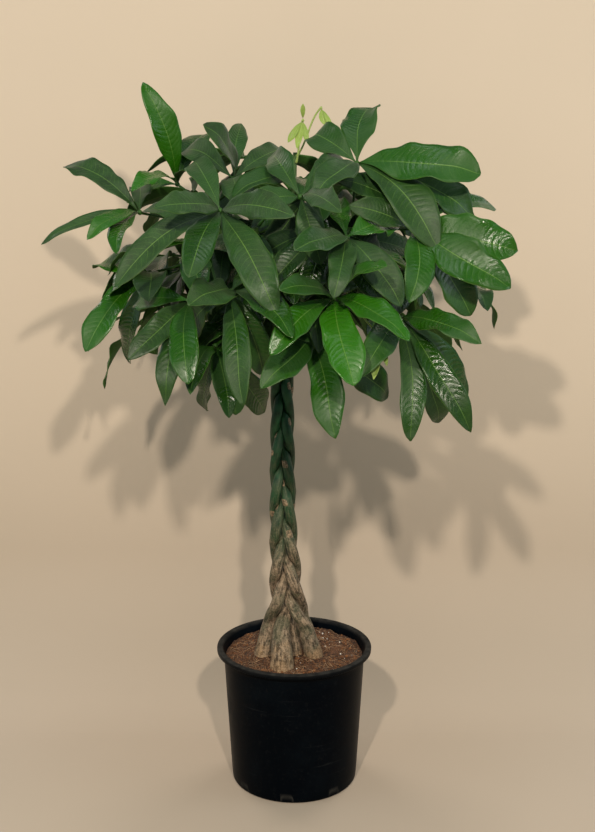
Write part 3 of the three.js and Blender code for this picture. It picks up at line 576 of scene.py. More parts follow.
# %% Small graph writer
class Value:
    """An output in a graph. Sums, differences and products of values add the nodes for them."""

    def __init__(self, graph, socket):
        self.graph, self.socket = graph, socket

    def __add__(self, other):
        return self.graph.math("ADD", self, other)

    def __sub__(self, other):
        return self.graph.math("SUBTRACT", self, other)

    def __rsub__(self, other):
        return self.graph.math("SUBTRACT", other, self)

    def __mul__(self, other):
        return self.graph.math("MULTIPLY", self, other)


class Graph:
    """A material with a Principled shader, and one-line helpers for the nodes in front of it."""

    def __init__(self, name):
        self.material = bpy.data.materials.new(name)
        self.material.use_nodes = True
        self.tree = self.material.node_tree
        self.shader = next(n for n in self.tree.nodes if n.type == "BSDF_PRINCIPLED")
        self.here = self.place()

    def node(self, kind, inputs=(), **values):
        """Adds a node, sets its values and fills its inputs."""
        node = self.tree.nodes.new("ShaderNode" + kind)
        for key, value in values.items():
            setattr(node, key, value)
        for key, value in dict(inputs).items():
            self.put(node.inputs[key], value)
        return node

    def add(self, kind, inputs=(), output=0, **values):
        """One output of a new node."""
        return Value(self, self.node(kind, inputs, **values).outputs[output])

    def put(self, socket, value):
        """Links a value to a socket, or sets it to a number, a vector or a colour."""
        if isinstance(value, Value):
            self.tree.links.new(value.socket, socket)
        else:
            socket.default_value = (*value, 1) if socket.type == "RGBA" else value

    def math(self, operation, a, b=0.0):
        """A sum, a product or another operation on one or two numbers."""
        return self.add("Math", {0: a, 1: b}, operation=operation)

    def span(self, value, low, high, to_low=0.0, to_high=1.0):
        """Value carried from one range to another, smoothly and held at the ends."""
        inputs = {0: value, 1: low, 2: high, 3: to_low, 4: to_high}
        return self.add("MapRange", inputs, interpolation_type="SMOOTHSTEP")

    def noise(self, scale, detail=3.0, rough=0.55, vector=None):
        """Cloudy noise, by object coordinates if no vector is given."""
        inputs = {"Vector": vector or self.here, "Scale": scale, "Detail": detail, "Roughness": rough}
        return self.add("TexNoise", inputs)

    def cells(self, scale, feature="DISTANCE_TO_EDGE"):
        """Distance to the edge of a cell, or with F1 to its middle."""
        return self.add("TexVoronoi", {"Vector": self.here, "Scale": scale}, feature=feature)

    def mix(self, share, a, b):
        """Two colours mixed by a share."""
        return self.add("Mix", {0: share, 6: a, 7: b}, 2, data_type="RGBA")

    def layers(self, base, *coats):
        """Colours laid over a base one after the other, each with its share."""
        for share, colour in coats:
            base = self.mix(share, base, colour)
        return base

    def split(self, kind, value):
        """The numbers of a vector (XYZ) or a colour (Color)."""
        return [Value(self, out) for out in self.node("Separate" + kind, {0: value}).outputs]

    def shares(self):
        """Shares along and across the surface."""
        return self.split("XYZ", self.add("UVMap", uv_map="shares"))[:2]

    def look(self):
        """The four numbers of the colour attribute 'look'."""
        colour, alpha = self.node("VertexColor", layer_name="look").outputs
        return *self.split("Color", Value(self, colour)), Value(self, alpha)

    def height(self):
        """Third of the object coordinates."""
        return self.split("XYZ", self.add("TexCoord", output="Object"))[2]

    def place(self, scale=(1, 1, 1)):
        """Object coordinates, stretched by scale."""
        return self.add("Mapping", {"Vector": self.add("TexCoord", output="Object"), "Scale": scale})

    def finish(self, colour, rough, relief, strength, distance, specular=0.5):
        """Puts colour, roughness, bump and specular level on the shader."""
        bump = self.add("Bump", {"Height": relief, "Strength": strength, "Distance": distance})
        sockets = {"Base Color": colour, "Roughness": rough, "Normal": bump,
                   "Specular IOR Level": specular}
        for key, value in sockets.items():
            self.put(self.shader.inputs[key], value)
        return self.material


print("graph helper ready")

# %% [markdown]
# ## Leaf finish
# The upper face is dark, waxy green. The midrib is pale yellow-green and the side veins leave it
# in pairs and bow towards the tip, sunk a little, so the blade bulges between them. The under
# face is paler green: partly its own colour, partly painted light shining through the blade. Some
# blades get a grey-green in patches that is painted sheen. The share map gives the place along
# and across the blade.


# %% Leaf material
# PAINTED_SHEEN_GREY is a grey-green painted over the green of some blades: painted sheen.
SIDE_VEINS, PAINTED_SHEEN_GREY = 19.0, (0.018, 0.060, 0.010)
# The first colour, a nearly black green, is the dark end of the tone and painted shade on the shaded
# leaves; the fourth is the under face.
LEAF_COLOURS = [(0.0005, 0.0055, 0.0002), (0.005, 0.045, 0.001), (0.018, 0.118, 0.001),
                (0.022, 0.088, 0.005), (0.12, 0.24, 0.04)]
YOUNG_COLOURS = [(0.16, 0.25, 0.04), (0.27, 0.37, 0.08), (0.30, 0.42, 0.08), (0.34, 0.43, 0.14),
                 (0.46, 0.52, 0.20)]


def make_leaf_material(name, colours, roughness):
    """Side veins are bands in u, bent by the distance off the midrib; look holds the tone (kept dark
    on the shaded leaves as painted shade), side (under face), lush and painted sheen (grey-green)."""
    deep_and_shade, mid, fresh, under, rib = colours
    g = Graph(name)
    u, v = g.shares()
    tone_and_shade, side, lush, painted_sheen = g.look()
    off = g.math("ABSOLUTE", v - 0.5)
    shift = (g.noise(26.0, 1.0) - 0.5) * 0.05
    rank = (u - g.math("POWER", off, 1.7) * 0.34 + shift) * SIDE_VEINS
    wave = g.math("ABSOLUTE", g.math("FRACT", rank) - 0.5)
    reach = g.span(off, 0.49, 0.3) * g.span(u, 0.97, 0.72)
    broken = g.span(g.noise(80.0), 0.36, 0.6, 0.3, 1.0)
    vein = g.span(wave, 0.0, 0.08, 1.0, 0.0) * reach * broken
    midrib = g.span(off, 0.006, 0.019, 1.0, 0.0)
    net = g.span(g.cells(430.0), 0.02, 0.16, 1.0, 0.0)
    cloud = g.span(g.noise(24.0, 5.0), 0.34, 0.7)
    sheen_patches = g.span(g.noise(48.0, 4.0), 0.3, 0.7, 0.35, 1.0)
    # The grey-green layer, laid on in patches, is painted sheen.
    base = g.layers(
        g.mix(cloud * 0.4 + tone_and_shade * 0.6, deep_and_shade, mid), (lush * 0.9, fresh), (painted_sheen * sheen_patches, PAINTED_SHEEN_GREY),
        # The under-face layer is paler green: partly its own colour, partly painted light shining
        # through the blade.
        (side * 0.75, under), (net * 0.10, rib), (vein * (painted_sheen * 0.14 + 0.18), rib),
        (g.span(off, 0.475, 0.5) * 0.3, rib), (midrib * 0.6, rib))
    patch = g.span(g.noise(13.0, 2.0), 0.42, 0.62)
    gloss = (lush * 0.5 + patch) * (1.0 - side) * g.span(painted_sheen, 0.0, 0.8, 1.0, 0.25)
    quilt = (gloss * 0.7 + 0.25) * g.span(g.noise(34.0, 2.0), 0.35, 0.62, 0.35, 1.0)
    swell = g.math("SINE", wave * np.pi) * (reach * 0.9 + 0.1) * quilt - midrib * 0.6
    relief = swell + g.noise(210.0, 4.0, 0.65) * 0.6 + g.noise(48.0) * 1.3 + net * 0.12
    rough = g.noise(60.0) * 0.16 + (roughness - 0.08) + side * 0.1
    rough = rough - g.math("MINIMUM", gloss, 1.0) * 0.44
    return g.finish(base, rough, relief, 0.42, 0.0016, 0.40)


leaf_green = make_leaf_material("waxy_leaf_green", LEAF_COLOURS, 0.62)
young_green = make_leaf_material("young_leaf_green", YOUNG_COLOURS, 0.5)
print(leaf_green.name, young_green.name)

# %% [markdown]
# ## Leaf shapes
# The outline widens from a short neck to its widest place past the middle and ends in a drawn-out
# point. The blade folds up from its midrib like a shallow gutter, its margin waves, and its tip
# bends down.

# %% Fine blades, stalks and knuckles
BLADE_ROWS, BLADE_COLUMNS, WIDEST, STALK_POINTS, STALK_SIDES = 29, 11, 0.6, 22, 9
KNUCKLE_RADIUS, YOUNG_KNUCKLE, KNUCKLE_ROWS, KNUCKLE_SIDES = 0.0044, 0.0026, 7, 10


def blade_share(u, point=0.5):
    """Half width as a share: a sine up to the widest place, then 1 - t^2 to a power that makes the
    tip blunt or pointed."""
    rising = np.sin(np.pi / 2 * np.minimum(1, u / WIDEST)) ** 1.15
    t = np.clip((u - WIDEST) / (1 - WIDEST), 0, 1)
    falling = (1 - t * t) ** (0.56 + 0.4 * point)
    return np.where(u < WIDEST, np.maximum(rising, 0.035), falling)


def blade_grid(blade, rows, columns, twist, bow, curl, point, ragged):
    """Middle surface of a blade on a grid of shares: the arched middle line with a sideways bow.
    The cross-sections turn along it, fold up from the midrib, and wave towards the margin."""
    u = np.linspace(0, 1, rows) ** 0.92
    u[-1] = 0.9985
    v = np.linspace(-1, 1, columns)
    hand, rim = np.sign(v), np.abs(v)
    length = np.sqrt(((blade["tip"] - blade["root"]) ** 2).sum())
    wide = blade["width"] * blade_share(u, point)[:, None]
    turn = (twist * (u - 0.2) * ease(u / 0.2))[:, None]
    up = blade_up(blade, u)
    side = blade["side"] * np.cos(turn) + up * np.sin(turn)
    up = up * np.cos(turn) - blade["side"] * np.sin(turn)
    bowed = bow * length * np.sin(np.pi * u) ** 1.5
    middle = blade_middle(blade, u) + blade["side"] * bowed[:, None]
    t, phase = u[:, None], blade["phase"]
    wave = v**2 * np.sin(BLADE_WAVES * t + phase + hand) * BLADE_WAVE * wide
    lobes = rim**2.2 * np.sin(15 * t + 2.3 * phase + 2.2 * hand) * 0.05 * ragged * wide
    ripple = rim**3 * np.sin(31 * t + 3 * phase + 2 * hand) * 0.02 * ragged * wide
    notch = np.sin(10 * t + 1.7 * phase + 2.5 * hand)
    uneven = 1 + 0.06 * ragged * (notch + 0.4 * np.sin(27 * t + phase - hand)) * rim
    reach = v * wide / 2 * uneven
    lift = rim**1.3 * BLADE_FOLD * wide / 2 + wave + lobes + ripple
    lift = lift - (curl * length * ease((u - 0.72) / 0.28) ** 2)[:, None]
    grid = middle[:, None] + reach[..., None] * side[:, None] + lift[..., None] * up[:, None]
    return grid, up[:, None], u, v


def add_blade(sheets, blade, shape, tone_and_shade, lush, painted_sheen, rows=BLADE_ROWS, columns=BLADE_COLUMNS):
    """Upper and under face of a blade as one closed tube of points round its edge."""
    grid, up, u, v = blade_grid(blade, rows, columns, *shape)
    thick = BLADE_THICKNESS / 2 * np.clip(blade_share(u) * 3, 0.35, 1)[:, None, None]
    upper, under = grid + up * thick, grid - up * thick
    skin = np.concatenate([upper, under[:, ::-1]], axis=1)
    across = np.concatenate([(v + 1) / 2, (v[::-1] + 1) / 2])
    face = np.concatenate([np.zeros(len(v)), np.ones(len(v))])[None, :] + 0 * u[:, None]
    # The colour data are tone, face, lush and the share of painted sheen.
    sheets.add(skin, u[:, None], across[None, :], stacked(tone_and_shade, face, lush, painted_sheen))


def add_rod(sheets, path, radii, sides, data):
    """Round tube along a path: circles square to the path, closed at both ends."""
    tangent = unit(np.gradient(path, axis=0))
    side = unit(np.cross(tangent, np.array([0.02, 0.03, 1.0])))
    top = np.cross(side, tangent)
    angle = ring(sides)[None, :, None]
    circle = np.cos(angle) * side[:, None] + np.sin(angle) * top[:, None]
    grid = path[:, None] + circle * np.asarray(radii)[:, None, None]
    share = np.linspace(0, 1, len(path))[:, None]
    sheets.add(grid, share, np.full((1, sides), 0.25), data)


def add_knuckle(sheets, centre, radius, data):
    """Ball: circles whose radius is sin(a) at height cos(a)."""
    a = np.linspace(0.12, np.pi - 0.12, KNUCKLE_ROWS)[:, None]
    b = ring(KNUCKLE_SIDES)[None, :]
    grid = centre + polar(np.sin(a), b, np.cos(a)) * radius
    sheets.add(grid, 0.5 + 0 * a, 0.25 + 0 * b, data)


# %% Pieces of the leaves
chance = make_draw(LOOK_SEED)


def add_stalk(sheets, leaf, young):
    """The stalk, thicker where it leaves the stem, and the knuckle where the blades meet."""
    t = np.linspace(0, 1, STALK_POINTS)
    path = stalk_curve(leaf["stem"], leaf["height"], leaf["knuckle"], t)
    away = np.hypot(*(path - stem_centre(leaf["stem"], path[:, 2]))[:, :2].T)
    path = path[int(np.argmax(away > along(BRAID, path[:, 2], 1) * 0.9)):]
    t = np.linspace(0, 1, len(path))
    swollen = 1 + 0.55 * np.exp(-((t / 0.09) ** 2)) + 0.2 * np.exp(-(((t - 1) / 0.06) ** 2))
    radii = STALK_RADIUS * (0.75 if young else 1.0) * swollen
    add_rod(sheets, path, radii, STALK_SIDES, (0.6, 0.55, 0.3, 0))
    radius = YOUNG_KNUCKLE if young else KNUCKLE_RADIUS
    add_knuckle(sheets, leaf["knuckle"], radius, (0.6, 0.8, 0.3, 0))


def free_shape():
    """Twist, sideways bow, curl of the tip, pointedness and raggedness of one blade."""
    turns = (chance() - 0.5) * 0.9, (chance() - 0.5) * 0.09, 0.015 + 0.09 * chance() ** 2
    return *turns, chance() ** 1.5, 0.5 + 1.5 * chance() ** 1.5


for leaf in leaves:
    sheets = Sheets()
    young = leaf["name"].startswith("young")
    drawn = 0.35 * chance(), 0.3 * chance()
    add_stalk(sheets, leaf, young)
    for i, blade in enumerate(leaf["blades"]):
        shape = free_shape()
        # The second look of a blade is how much painted sheen it gets.
        lush, painted_sheen = leaf["looks"][i] if leaf["looks"] else drawn
        if young:
            shape, lush, painted_sheen = (0, 0, 0, 0.8, 0.5), 0.3, 0
        add_blade(sheets, blade, shape, chance() ** 1.6, min(1, lush + 0.12 * chance()), painted_sheen)
    material, slot = (young_green, "young_leaf") if young else (leaf_green, "leaf")
    finish_piece(sheets.mesh(leaf["name"] + "_blades"), material, slot, leaf["name"])

# %% [markdown]
# ## The inside of the crown
# A real crown is dense. Past the leaves that the solids hold, each stem carries more of the same
# leaves deep inside, in the shade, and they hang steeply. They are placed by rule, by the same
# test, and one that finds no room is left out. They have fewer points, because little is seen,
# and their colour is kept near the deepest green as painted shade.

# %% Shaded leaves of each stem
SHADED_LEAVES, SHADED_LEAFLETS, SHADED_FROM, GOLDEN_SHARE = 9, 5, 0.845, 0.381966
SHADED_ROWS, SHADED_COLUMNS = 17, 7
shade_draw = make_draw(SHADE_SEED)
taken = [blade_probe(blade) for leaf in leaves for blade in leaf["blades"]]


def shaded_leaf(k, i):
    """Leaf i of stem k: its place on the stem and the blades that find room, with their probes."""
    share = (i + shade_draw()) / SHADED_LEAVES
    height = between((SHADED_FROM, SHOOTS[k, 2] - 0.05), share)
    turn = 2 * np.pi * (i * GOLDEN_SHARE + k / STEMS + 0.1 * shade_draw())
    reach = 0.06 + 0.09 * shade_draw()
    out = polar(1.0, turn, 0.0)
    knuckle = stem_centre(k, height) + out * reach + np.array([0, 0, 0.01 + 0.03 * shade_draw()])
    facing = out * 0.75 + np.array([0, -0.2, 0.7])
    blades = []
    for j in range(SHADED_LEAFLETS):
        spread = (j - (SHADED_LEAFLETS - 1) / 2) * 0.95 + 0.2 * (shade_draw() - 0.5)
        drop = -np.radians(28 + 34 * shade_draw()) * (1 - 0.12 * abs(spread))
        length = (0.115 + 0.05 * shade_draw()) * (1 - 0.1 * abs(spread))
        tip = knuckle + polar(np.cos(drop), turn + spread, np.sin(drop)) * length
        form = facing, *bending(shade_draw, False)
        found = find_place(knuckle, tip, 0.036 + 0.014 * shade_draw(), form, taken)
        if found:
            blades.append(found)
    return {"stem": k, "height": height, "knuckle": knuckle}, blades


for k in range(STEMS):
    sheets = Sheets()
    for i in range(SHADED_LEAVES):
        leaf, blades = shaded_leaf(k, i)
        if len(blades) < 2:
            continue
        taken += [probe for blade, probe in blades]
        add_stalk(sheets, leaf, False)
        for blade, probe in blades:
            # Tone at most 0.3, near the deepest green: painted shade for the inside of the crown.
            add_blade(sheets, blade, free_shape(), 0.3 * chance(), 0.2 * chance(), 0.1 * chance(),
                      SHADED_ROWS, SHADED_COLUMNS)
    finish_piece(sheets.mesh(f"shaded_leaves_{k + 1}"), leaf_green, "leaf")

# %% [markdown]
# ## Stems
# Young money tree bark is smooth and bluish green, with tan scars where old leaves fell. Lower
# down it turns brown-grey and wrinkles where the stem was bent, and the swollen feet are tan.


# %% Bark material
def make_bark():
    """Colour by height, with streaks that run along each stem: the noise is read at the cosine and
    sine of the angle round the stem, and changes slowly with the height."""
    g = Graph("young_green_bark")
    z = g.height()
    scar, own = g.look()[:2]
    turn = g.shares()[1] * (2 * np.pi)
    axes = g.math("COSINE", turn), g.math("SINE", turn), z * 16.0 + own * 40.0
    streak = g.noise(3.2, 7.0, 0.72, g.add("CombineXYZ", enumerate(axes)))
    grit = g.noise(310.0, 5.0, 0.75)
    level = g.noise(18.0, 5.0, 0.6) * 0.22 + (z - 0.11)
    tone = streak * 0.6 + g.noise(95.0, 6.0, 0.75) * 0.4
    green = g.mix(g.span(g.noise(55.0, 4.0), 0.35, 0.65), (0.002, 0.026, 0.009),
                  (0.010, 0.062, 0.022))
    faded = g.mix(g.span(streak, 0.38, 0.6), (0.014, 0.036, 0.016), (0.085, 0.100, 0.052))
    green = g.mix(g.span(level, 0.70, 0.48) * g.span(streak, 0.35, 0.65, 0.2, 0.9), green, faded)
    brown = g.mix(g.span(tone, 0.40, 0.59), (0.045, 0.034, 0.021), (0.35, 0.255, 0.17))
    moss = g.span(g.noise(30.0), 0.44, 0.6) * 0.55
    brown = g.mix(moss, brown, (0.060, 0.072, 0.038))
    tan = g.mix(g.span(tone, 0.40, 0.58), (0.10, 0.058, 0.03), (0.38, 0.25, 0.14))
    shoot = g.mix(g.noise(40.0), (0.03, 0.075, 0.015), (0.06, 0.12, 0.03))
    worn = g.mix(g.span(grit, 0.4, 0.6), (0.075, 0.055, 0.032), (0.36, 0.245, 0.15))
    old = g.span(level, 0.62, 0.42)
    ragged = g.span(scar + g.noise(220.0, 4.0, 0.7) * 0.9, 0.85, 1.1)
    base = g.layers(
        g.mix(g.span(level, 0.236, 0.272), tan, g.mix(g.span(level, 0.38, 0.51), brown, green)),
        (g.span(z, 0.86, 0.93), shoot),
        (g.span(grit, 0.36, 0.47, 0.75, 0.0) * old, (0.018, 0.014, 0.009)),
        (g.span(grit, 0.57, 0.68, 0.0, 0.55) * old, (0.50, 0.43, 0.33)), (ragged * 0.85, worn))
    rough = g.span(level, 0.36, 0.52, 0.8, 0.48)
    return g.finish(base, rough, tone * 1.3 + grit * 0.35, 0.75, 0.002, 0.25)


bark = make_bark()
print(bark.name)

# %% Fine stems
STEM_SIDES, SHOOT_FROM, BRAID_STEP, SHOOT_STEP = 28, 0.9, 0.003, 0.008
SCARS_FROM, SCARS_TO, SCAR_STEP, SCAR_HALF, SCAR_TURN = 0.43, 0.87, 0.036, 0.0058, 0.6
scar_draw = make_draw(SCAR_SEED)
angle = ring(STEM_SIDES)[None, :]
for k in range(STEMS):
    end = SHOOTS[k, 2]
    z = np.concatenate([np.arange(STEM_FOOT, SHOOT_FROM, BRAID_STEP),
                        np.arange(SHOOT_FROM, end, SHOOT_STEP), [end]])
    centre, reach, z = stem_centre(k, z)[:, None], stem_reach(k, z, angle[0]), z[:, None]
    scar = 0 * reach
    place = SCARS_FROM + 0.02 * k
    while place < SCARS_TO:
        away = np.angle(np.exp(1j * (angle - 2 * np.pi * scar_draw())))
        spot = np.exp(-(((z - place) / SCAR_HALF) ** 4) - (away / SCAR_TURN) ** 4)
        scar = np.maximum(scar, np.clip(spot * 1.6, 0, 1))
        place += SCAR_STEP * (0.7 + 0.6 * scar_draw())
    knots = 0.02 * np.sin(z * 150 + 2 * k) * np.cos(angle + 3 * k + z * 12)
    reach = reach * (0.99 + knots * ease((0.55 - z) / 0.2)) + scar * 0.0006
    share = (z - z[0]) / (z[-1] - z[0])
    item = sheet(f"stem_{k + 1}_bark", centre + polar(reach, angle, 0), share, angle / (2 * np.pi),
                 stacked(scar, k / STEMS, 0, 0))
    finish_piece(item, bark, "bark", f"stem_{k + 1}")

# %% [markdown]
# ## Pot
# A blow-moulded nursery pot: thin satin black polyethylene with a rolled rim, dusty and scuffed
# where pots are stacked and carried, and drain notches cut into the corner of its foot.


# %% Pot surface
POT_SIDES, SOIL_SIDES, SOIL_RINGS = 144, 160, 62


def wall_at(z):
    """Outer radius of the straight tapered wall."""
    return between((WALL_FOOT_RADIUS, WALL_TOP_RADIUS), z / (POT_HEIGHT - LIP_BAND))


def inside_at(z):
    """Inner radius of the wall."""
    low, foot = FLOOR_LIFT + WALL, WALL_FOOT_RADIUS - CORNER_RADIUS
    return foot + (WALL_TOP_RADIUS - WALL - foot) * (z - low) / (POT_HEIGHT - LIP_BAND - low)


def arc(radius, height, size, start, stop, steps):
    """Points of a circular arc in the plane of radius and height, angles in degrees."""
    a = np.radians(np.linspace(start, stop, steps))
    return np.stack([radius + size * np.cos(a), height + size * np.sin(a)], -1)


def pot_profile():
    """Outline of the wall as radius and height: foot, corner, wall, rolled rim and inside."""
    neck_height, roll = POT_HEIGHT - 0.016, 0.0025
    lip, neck = np.array([RIM_RADIUS, POT_HEIGHT]), np.array([wall_at(neck_height), POT_HEIGHT])
    ring_edge = WALL_FOOT_RADIUS - FOOT_RING_WIDTH
    rows = [
        [[0.0001, 0], [0.03, 0], [FOOT_PAD_RADIUS, 0], [FOOT_PAD_RADIUS + 0.004, FLOOR_LIFT]],
        [[ring_edge, FLOOR_LIFT], [ring_edge + 0.004, 0]],
        arc(WALL_FOOT_RADIUS - CORNER_RADIUS, CORNER_RADIUS, CORNER_RADIUS, -90, 0, 8),
        [[wall_at(z), z] for z in np.linspace(0.02, neck_height, 24)],
        neck + [[0.0015, -0.011], [0.0042, -0.0062], [0.0075, -0.0033]],
        lip - [[0.0052, 0.0024], [0.003, 0.0034], [0.0023, 0.0055], [0.0021, LIP_DROP],
               [0.0011, LIP_DROP + 0.0002], [0.0002, LIP_DROP - 0.0006]],
        arc(RIM_RADIUS - roll, POT_HEIGHT - roll, roll, 0, 90, 7),
        lip - [[0.0055, 0.0001], [LIP_BAND, 0.0003], [LIP_BAND + 0.0018, 0.0015]],
        [neck + [0.0012, -0.0065]],
        [[inside_at(z), z] for z in np.linspace(POT_HEIGHT - 0.011, 0.012, 10)],
        [[FOOT_PAD_RADIUS + 0.002, FLOOR_LIFT + WALL], [FOOT_PAD_RADIUS - 0.002, WALL], [0.0001, WALL]],
    ]
    return np.concatenate([np.asarray(row, float) for row in rows])


def make_pot():
    """The profile carried round the axis, with a faint out-of-round of soft plastic."""
    profile = pot_profile()
    turn = ring(POT_SIDES)[None, :]
    r, z = profile[:, :1], profile[:, 1:]
    soft = 0.0005 * np.sin(2 * turn + 0.6) * ease(z / 0.2) * (r > 0.1) * (z < POT_HEIGHT - 0.02)
    # The top 3 mm of the rim is marked for a lighter grey: partly wear, partly a painted highlight.
    data = stacked(ease((z + 0 * turn - POT_HEIGHT + 0.0035) / 0.003), 0, 0, 0)
    return sheet("pot_shell", polar(r + soft, turn, z), turn / (2 * np.pi), z / POT_HEIGHT, data)


def cut_notches(pot):
    """Cuts each drain notch with a rounded block whose place is turned round the axis."""
    half, top, corner, bevel = NOTCH_WIDTH / 2, NOTCH_HEIGHT, 0.004, 0.0012
    outline = np.array([
        [-half, -corner], [half, -corner], [half, top - corner], [half - bevel, top - bevel],
        [half - corner, top], [corner - half, top], [bevel - half, top - bevel], [-half, top - corner]])
    along_edge, height = outline[None, :, 0], outline[None, :, 1]
    depth = np.array([WALL_FOOT_RADIUS - 0.0155, WALL_FOOT_RADIUS + 0.012])[:, None]
    for i in range(NOTCHES):
        turn = np.radians(NOTCH_TURN + 360 * i / NOTCHES - 90)
        x = depth * np.cos(turn) - along_edge * np.sin(turn)
        y = depth * np.sin(turn) + along_edge * np.cos(turn)
        block = Sheets()
        block.add(stacked(x, y, height), 0 * depth, 0 * height, flip=True)
        cutter = block.mesh(f"notch_cutter_{i}", smooth=False)
        cut = pot.modifiers.new(f"notch_{i}", "BOOLEAN")
        cut.operation, cut.object, cut.solver = "DIFFERENCE", cutter, "EXACT"
        graph = bpy.context.evaluated_depsgraph_get()
        made = bpy.data.meshes.new_from_object(pot.evaluated_get(graph))
        pot.modifiers.clear()
        pot.data = made
        bpy.data.objects.remove(cutter)


# %% [markdown]
# Polyethylene that has stood in a greenhouse is a soft black with a faint blue cast. The top of
# the rim is painted lighter grey, partly as wear and partly as a painted highlight, and fine pale
# scratches run round and down the wall.


# %% Pot material and piece
def make_pot_plastic():
    """Dust and fine scratches over black, two directions of scuffs, and a rim top painted lighter:
    partly wear, partly a painted highlight.
    """
    g = Graph("satin_black_pot_plastic")
    rim = g.look()[0]
    dust = g.span(g.noise(9.0, 6.0, 0.7), 0.45, 0.75)
    fine = g.span(g.noise(160.0, 3.0, 0.6), 0.55, 0.75)
    scratch = g.span(g.noise(330.0, 4.0, 0.7, g.place((1, 1, 0.03))), 0.66, 0.74)
    scratch = scratch * g.span(g.noise(14.0, 2.0), 0.5, 0.68)
    rub = g.span(g.noise(60.0, 3.0, 0.7, g.place((0.12, 0.12, 6.0))), 0.62, 0.72)
    rub = rub * g.span(g.noise(11.0, 2.0), 0.52, 0.66)
    # A lighter grey on the rim top: partly wear, partly a painted highlight.
    worn = rim * g.span(g.noise(70.0, 4.0), 0.3, 0.7, 0.3, 0.9)
    base = g.layers(
        g.mix(dust, (0.0003, 0.0013, 0.0028), (0.0014, 0.0032, 0.0052)),
        (fine * 0.02, (0.16, 0.16, 0.155)), (scratch * 0.12, (0.2, 0.2, 0.2)),
        (rub * 0.09, (0.16, 0.165, 0.17)), (worn, (0.035, 0.033, 0.03)))
    relief = g.noise(240.0) + scratch * -0.5
    return g.finish(base, dust * 0.12 + 0.4 + rim * 0.1, relief, 0.22, 0.0006, 0.04)


pot = make_pot()
cut_notches(pot)
pot.data.materials.clear()
finish_piece(pot, make_pot_plastic(), "pot_plastic", "pot")

# %% [markdown]
# ## Soil
# Coir and peat with white perlite: a low uneven mound of reddish brown crumbs, with loose fibres
# and granules lying on it. The bed is one polar grid without holes, and the stems stand in it.


# %% Soil bed
def soil_height(x, y):
    """Low mound plus waves of three lengths, in metres."""
    share = np.clip(np.hypot(x, y) / inside_at(SOIL_TOP), 0, 1)
    wide = np.sin(x * 110 + 1) * np.cos(y * 130) + np.sin(x * 50 - y * 70)
    small = np.sin(x * 410 + 2 * np.sin(y * 230)) * np.sin(y * 370 + 1.7)
    crumb = np.sin(x * 1130 + 3 * np.sin(y * 610)) * np.sin(y * 1210 + 2 * np.sin(x * 570))
    mound = SOIL_MOUND * (1 - share**2)
    swell = SOIL_TOP + mound + 0.0014 * wide * np.minimum(1, share + 0.3)
    return swell + 0.0009 * small + 0.0008 * crumb


def make_soil():
    """One plug: floor, side and mounded top, all rings round the axis."""
    turn = ring(SOIL_SIDES)[None, :]
    gap = SEAT + 0.0004
    r = (inside_at(SOIL_TOP - 0.006) - gap) * np.linspace(1, 0.012, SOIL_RINGS)[:, None]
    top = polar(r, turn, soil_height(r * np.cos(turn), r * np.sin(turn)))
    floor = FLOOR_LIFT + WALL
    low = np.array([[FOOT_PAD_RADIUS - 0.004, WALL + SEAT], [FOOT_PAD_RADIUS, floor + SEAT],
                    [inside_at(floor) - gap, floor + SEAT], [inside_at(0.20) - gap, 0.20]])
    grid = np.concatenate([polar(low[:, :1], turn, low[:, 1:]), top])
    return sheet("soil_bed", grid, np.linspace(0, 1, len(grid))[:, None], turn / (2 * np.pi))


def make_soil_material():
    """Crumbs from nearly black to reddish brown, with painted shade in the gaps between them and a few
    pale specks.
    """
    g = Graph("coir_and_peat")
    crumb = g.noise(300.0, 6.0, 0.7)
    base = g.layers(
        g.mix(g.span(crumb, 0.35, 0.65), (0.012, 0.005, 0.003), (0.25, 0.098, 0.034)),
        (g.span(g.noise(36.0, 4.0), 0.45, 0.7, 0.0, 0.6), (0.21, 0.085, 0.032)),
        # Nearly black at the edges of the cells: painted shade in the gaps between crumbs.
        (g.span(g.cells(230.0), 0.0, 0.16, 0.75, 0.0), (0.010, 0.005, 0.003)),
        (g.span(g.cells(520.0, "F1"), 0.04, 0.10, 0.7, 0.0), (0.42, 0.33, 0.24)))
    return g.finish(base, 0.92, crumb + g.noise(900.0) * 0.4, 1.0, 0.004)


finish_piece(make_soil(), make_soil_material(), "soil", "soil")

# %% [markdown]
# Perlite is puffed white glass in granules of 2 to 4 mm, and coir sheds pale fibres. They lie
# where a seeded draw puts them, clear of the stems, and stay small and plain because there are
# hundreds.

# %% Perlite granules, coir crumbs and fibres
rng = np.random.default_rng(SOIL_SEED)


def scatter(count):
    """Places on the soil inside the pot, away from the feet of the stems."""
    spots = np.zeros((0, 2))
    while len(spots) < count:
        r = (inside_at(SOIL_TOP) - 0.006) * np.sqrt(rng.random(count))
        a = 2 * np.pi * rng.random(count)
        tried = np.stack([r * np.cos(a), r * np.sin(a)], -1)
        clear = np.ones(count, bool)
        for k in range(STEMS):
            foot = stem_centre(k, SOIL_TOP + 0.004)[:2]
            clear &= np.hypot(*(tried - foot).T) > along(BRAID, SOIL_TOP, 1) + 0.003
        spots = np.concatenate([spots, tried[clear]])
    return spots[:count]


def granules(name, count, small, large, material, flat):
    """Lumpy six-sided balls: circles at three heights, each ball with its own radii."""
    sheets = Sheets()
    a = np.array([0.45, 1.35, 2.3])[:, None]
    for x, y in scatter(count):
        size = small + (large - small) * rng.random() ** 2
        b = ring(6)[None, :] + rng.random() * 3
        r = size / 2 * (0.75 + 0.5 * rng.random((3, 6)))
        centre = np.array([x, y, soil_height(x, y) + size * 0.18])
        grid = centre + polar(r * np.sin(a), b, r * np.cos(a) * flat)
        sheets.add(grid, 0 * a, 0 * b, (rng.random(), 0, 0, 0))
    finish_piece(sheets.mesh(name, smooth=False), material, "soil")


